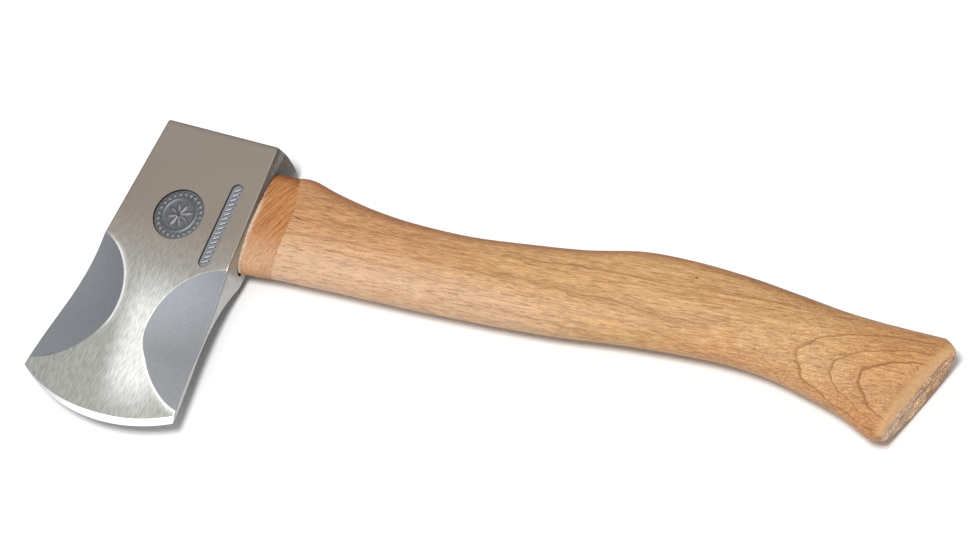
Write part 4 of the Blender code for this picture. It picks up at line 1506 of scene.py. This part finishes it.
def make_sawn_wood():
    """End grain off the saw: pores and torn fibres in rows, with one edge planed smooth."""
    wood = Finish("hickory_sawn", metallic=0.0, specular=0.25)
    speckle = wood.noise(1.3, detail=2.0, rough=0.7)
    rows = wood.noise((0.2, 0.2, 1.1), detail=2.0)
    tint = wood.noise((0.1, 0.1, 0.3), detail=2.0)
    grains = wood.noise((0.7, 1.0, 0.7))
    base = wood.ramp(speckle, (
        (0.34, (0.260, 0.120, 0.060)),
        (0.45, (0.550, 0.300, 0.158)),
        (0.54, (0.810, 0.505, 0.295)),
        (0.66, (1.000, 0.830, 0.600)),
    ))
    base = wood.blend(wood.step(tint, 0.42, 0.62, 0.0, 0.55), base, (0.46, 0.21, 0.11))
    base = wood.blend(wood.step(wood.y, -18.0, -44.0, 0.0, 0.3), base, (0.78, 0.66, 0.55))
    base = wood.shade(base, wood.step(rows, 0.34, 0.66, 0.66, 1.30))
    planed = wood.blend(wood.step(grains, 0.3, 0.7), (0.77, 0.440, 0.200), (0.86, 0.535, 0.275))
    on_bevel = wood.step(wood.z + grains * 0.4, EASED_Z + 0.1, EASED_Z + 0.4)
    wood.bump((speckle + rows) * (1.0 - on_bevel), 0.25, 0.8)
    return wood.finish(wood.blend(on_bevel, base, planed), 0.8)


def make_wedge_wood():
    """The wooden wedge: paler, straight-grained, its end grain dusty."""
    wood = Finish("wedge_wood_grain", metallic=0.0, specular=0.3)
    fibres = wood.noise((0.08, 2.2, 2.2), detail=4.0)
    rows = wood.noise((0.3, 0.5, 4.0), detail=2.0)
    base = wood.ramp(fibres, ((0.3, (0.50, 0.33, 0.16)), (0.7, (0.74, 0.56, 0.33))))
    base = wood.shade(base, wood.step(rows, 0.3, 0.7, 0.75, 1.1))
    wood.bump(fibres, 0.15, 0.7)
    return wood.finish(base, 0.75)


# ------------------------------------------------------------------------------------- stage and light

def make_floor():
    """A pale plain floor under the hatchet."""
    height = cad_box[0][2]
    bpy.ops.mesh.primitive_circle_add(
        vertices=96, radius=FLOOR_RADIUS, fill_type="NGON", location=(0.0, 0.0, height)
    )
    floor = bpy.context.object
    floor.name = "floor"
    material = bpy.data.materials.new("floor_pale")
    material.use_nodes = True
    shader = material.node_tree.nodes["Principled BSDF"]
    shader.inputs["Base Color"].default_value = (0.92, 0.92, 0.92, 1.0)
    shader.inputs["Roughness"].default_value = 0.9
    shader.inputs["Specular IOR Level"].default_value = 0.1
    floor.data.materials.append(material)


def make_world():
    """Soft light from all round: brighter overhead, and brightest where the cheek mirrors it."""
    world = bpy.data.worlds.new("studio")
    world.use_nodes = True
    sky = Nodes(world.node_tree)
    background = sky.tree.nodes["Background"]
    background.inputs["Color"].default_value = (1.0, 1.0, 1.0, 1.0)
    direction = sky.make("TexCoord", {}, "Generated")
    up = sky.split(direction)[2]
    overhead = sky.step(up, 0.0, 1.0, SKY_HORIZON, SKY_TOP, kind="LINEAR")
    towards = Vector(PANEL_DIRECTION).normalized()
    match = sky.make("VectorMath", {0: direction, 1: towards}, "Value", operation="DOT_PRODUCT")
    inner, outer = [math.cos(math.radians(angle)) for angle in PANEL_EDGE]
    panel = sky.step(match, outer, inner, 0.0, PANEL_STRENGTH)
    sky.feed(background.inputs["Strength"], overhead + panel)
    bpy.context.scene.world = world


def make_light(name, place, target, size, watts):
    """A square soft box that looks at a target, both in metres in the part's own frame."""
    lamp = bpy.data.lights.new(name, "AREA")
    lamp.size = size
    lamp.energy = watts
    light = bpy.data.objects.new(name, lamp)
    light.location = place
    direction = Vector(target) - Vector(place)
    light.rotation_euler = direction.to_track_quat("-Z", "Y").to_euler()
    bpy.context.scene.collection.objects.link(light)


def make_camera():
    """The camera, at the photograph's viewing angle."""
    right = Vector(CAMERA_RIGHT).normalized()
    back = right.cross(Vector(CAMERA_UP)).normalized()
    up = back.cross(right)
    lens = bpy.data.cameras.new("camera")
    lens.lens = CAMERA_LENS
    lens.sensor_width = CAMERA_SENSOR
    lens.clip_start = 0.01
    camera = bpy.data.objects.new("camera", lens)
    rotation = Matrix((right, up, back)).transposed().to_4x4()
    camera.matrix_world = Matrix.Translation(CORNER + Vector(CAMERA_PLACE) * MM) @ rotation
    bpy.context.scene.collection.objects.link(camera)
    bpy.context.scene.camera = camera


# ------------------------------------------------------------------------------------------- assembly

def main():
    """Make every piece and set the stage."""
    bpy.context.scene.view_settings.view_transform = "Standard"
    side_steel = make_side_steel()
    stamp_steel = make_stamp_steel()
    hickory = make_hickory()
    sawn_hickory = make_sawn_wood()

    head = build_head(make_head_steel(), side_steel, stamp_steel, make_eye_steel())
    marks = build_panel_marks([stamp_steel])
    handle = build_handle(hickory, sawn_hickory, make_shoulder_wood())
    fibres = build_crushed_fibres(make_fibre())
    wood_wedge = build_wood_wedge(make_wedge_wood())
    steel_wedge = build_steel_wedge(make_wedge_steel())

    for piece, node, slot in (
        (head, "axe_head", "head_steel"),
        (handle, "handle", "hickory"),
        (wood_wedge, "wood_wedge", "wedge_wood"),
        (steel_wedge, "steel_wedge", "wedge_steel"),
    ):
        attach(piece, "root")
        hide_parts(node)
    for extra, slot in ((marks, "head_steel"), (fibres, "hickory")):
        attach(extra, "root")

    make_floor()
    make_world()
    make_light("key", KEY_PLACE, (0.0, 0.0, 0.0), KEY_SIZE, KEY_WATTS)
    make_camera()


main()
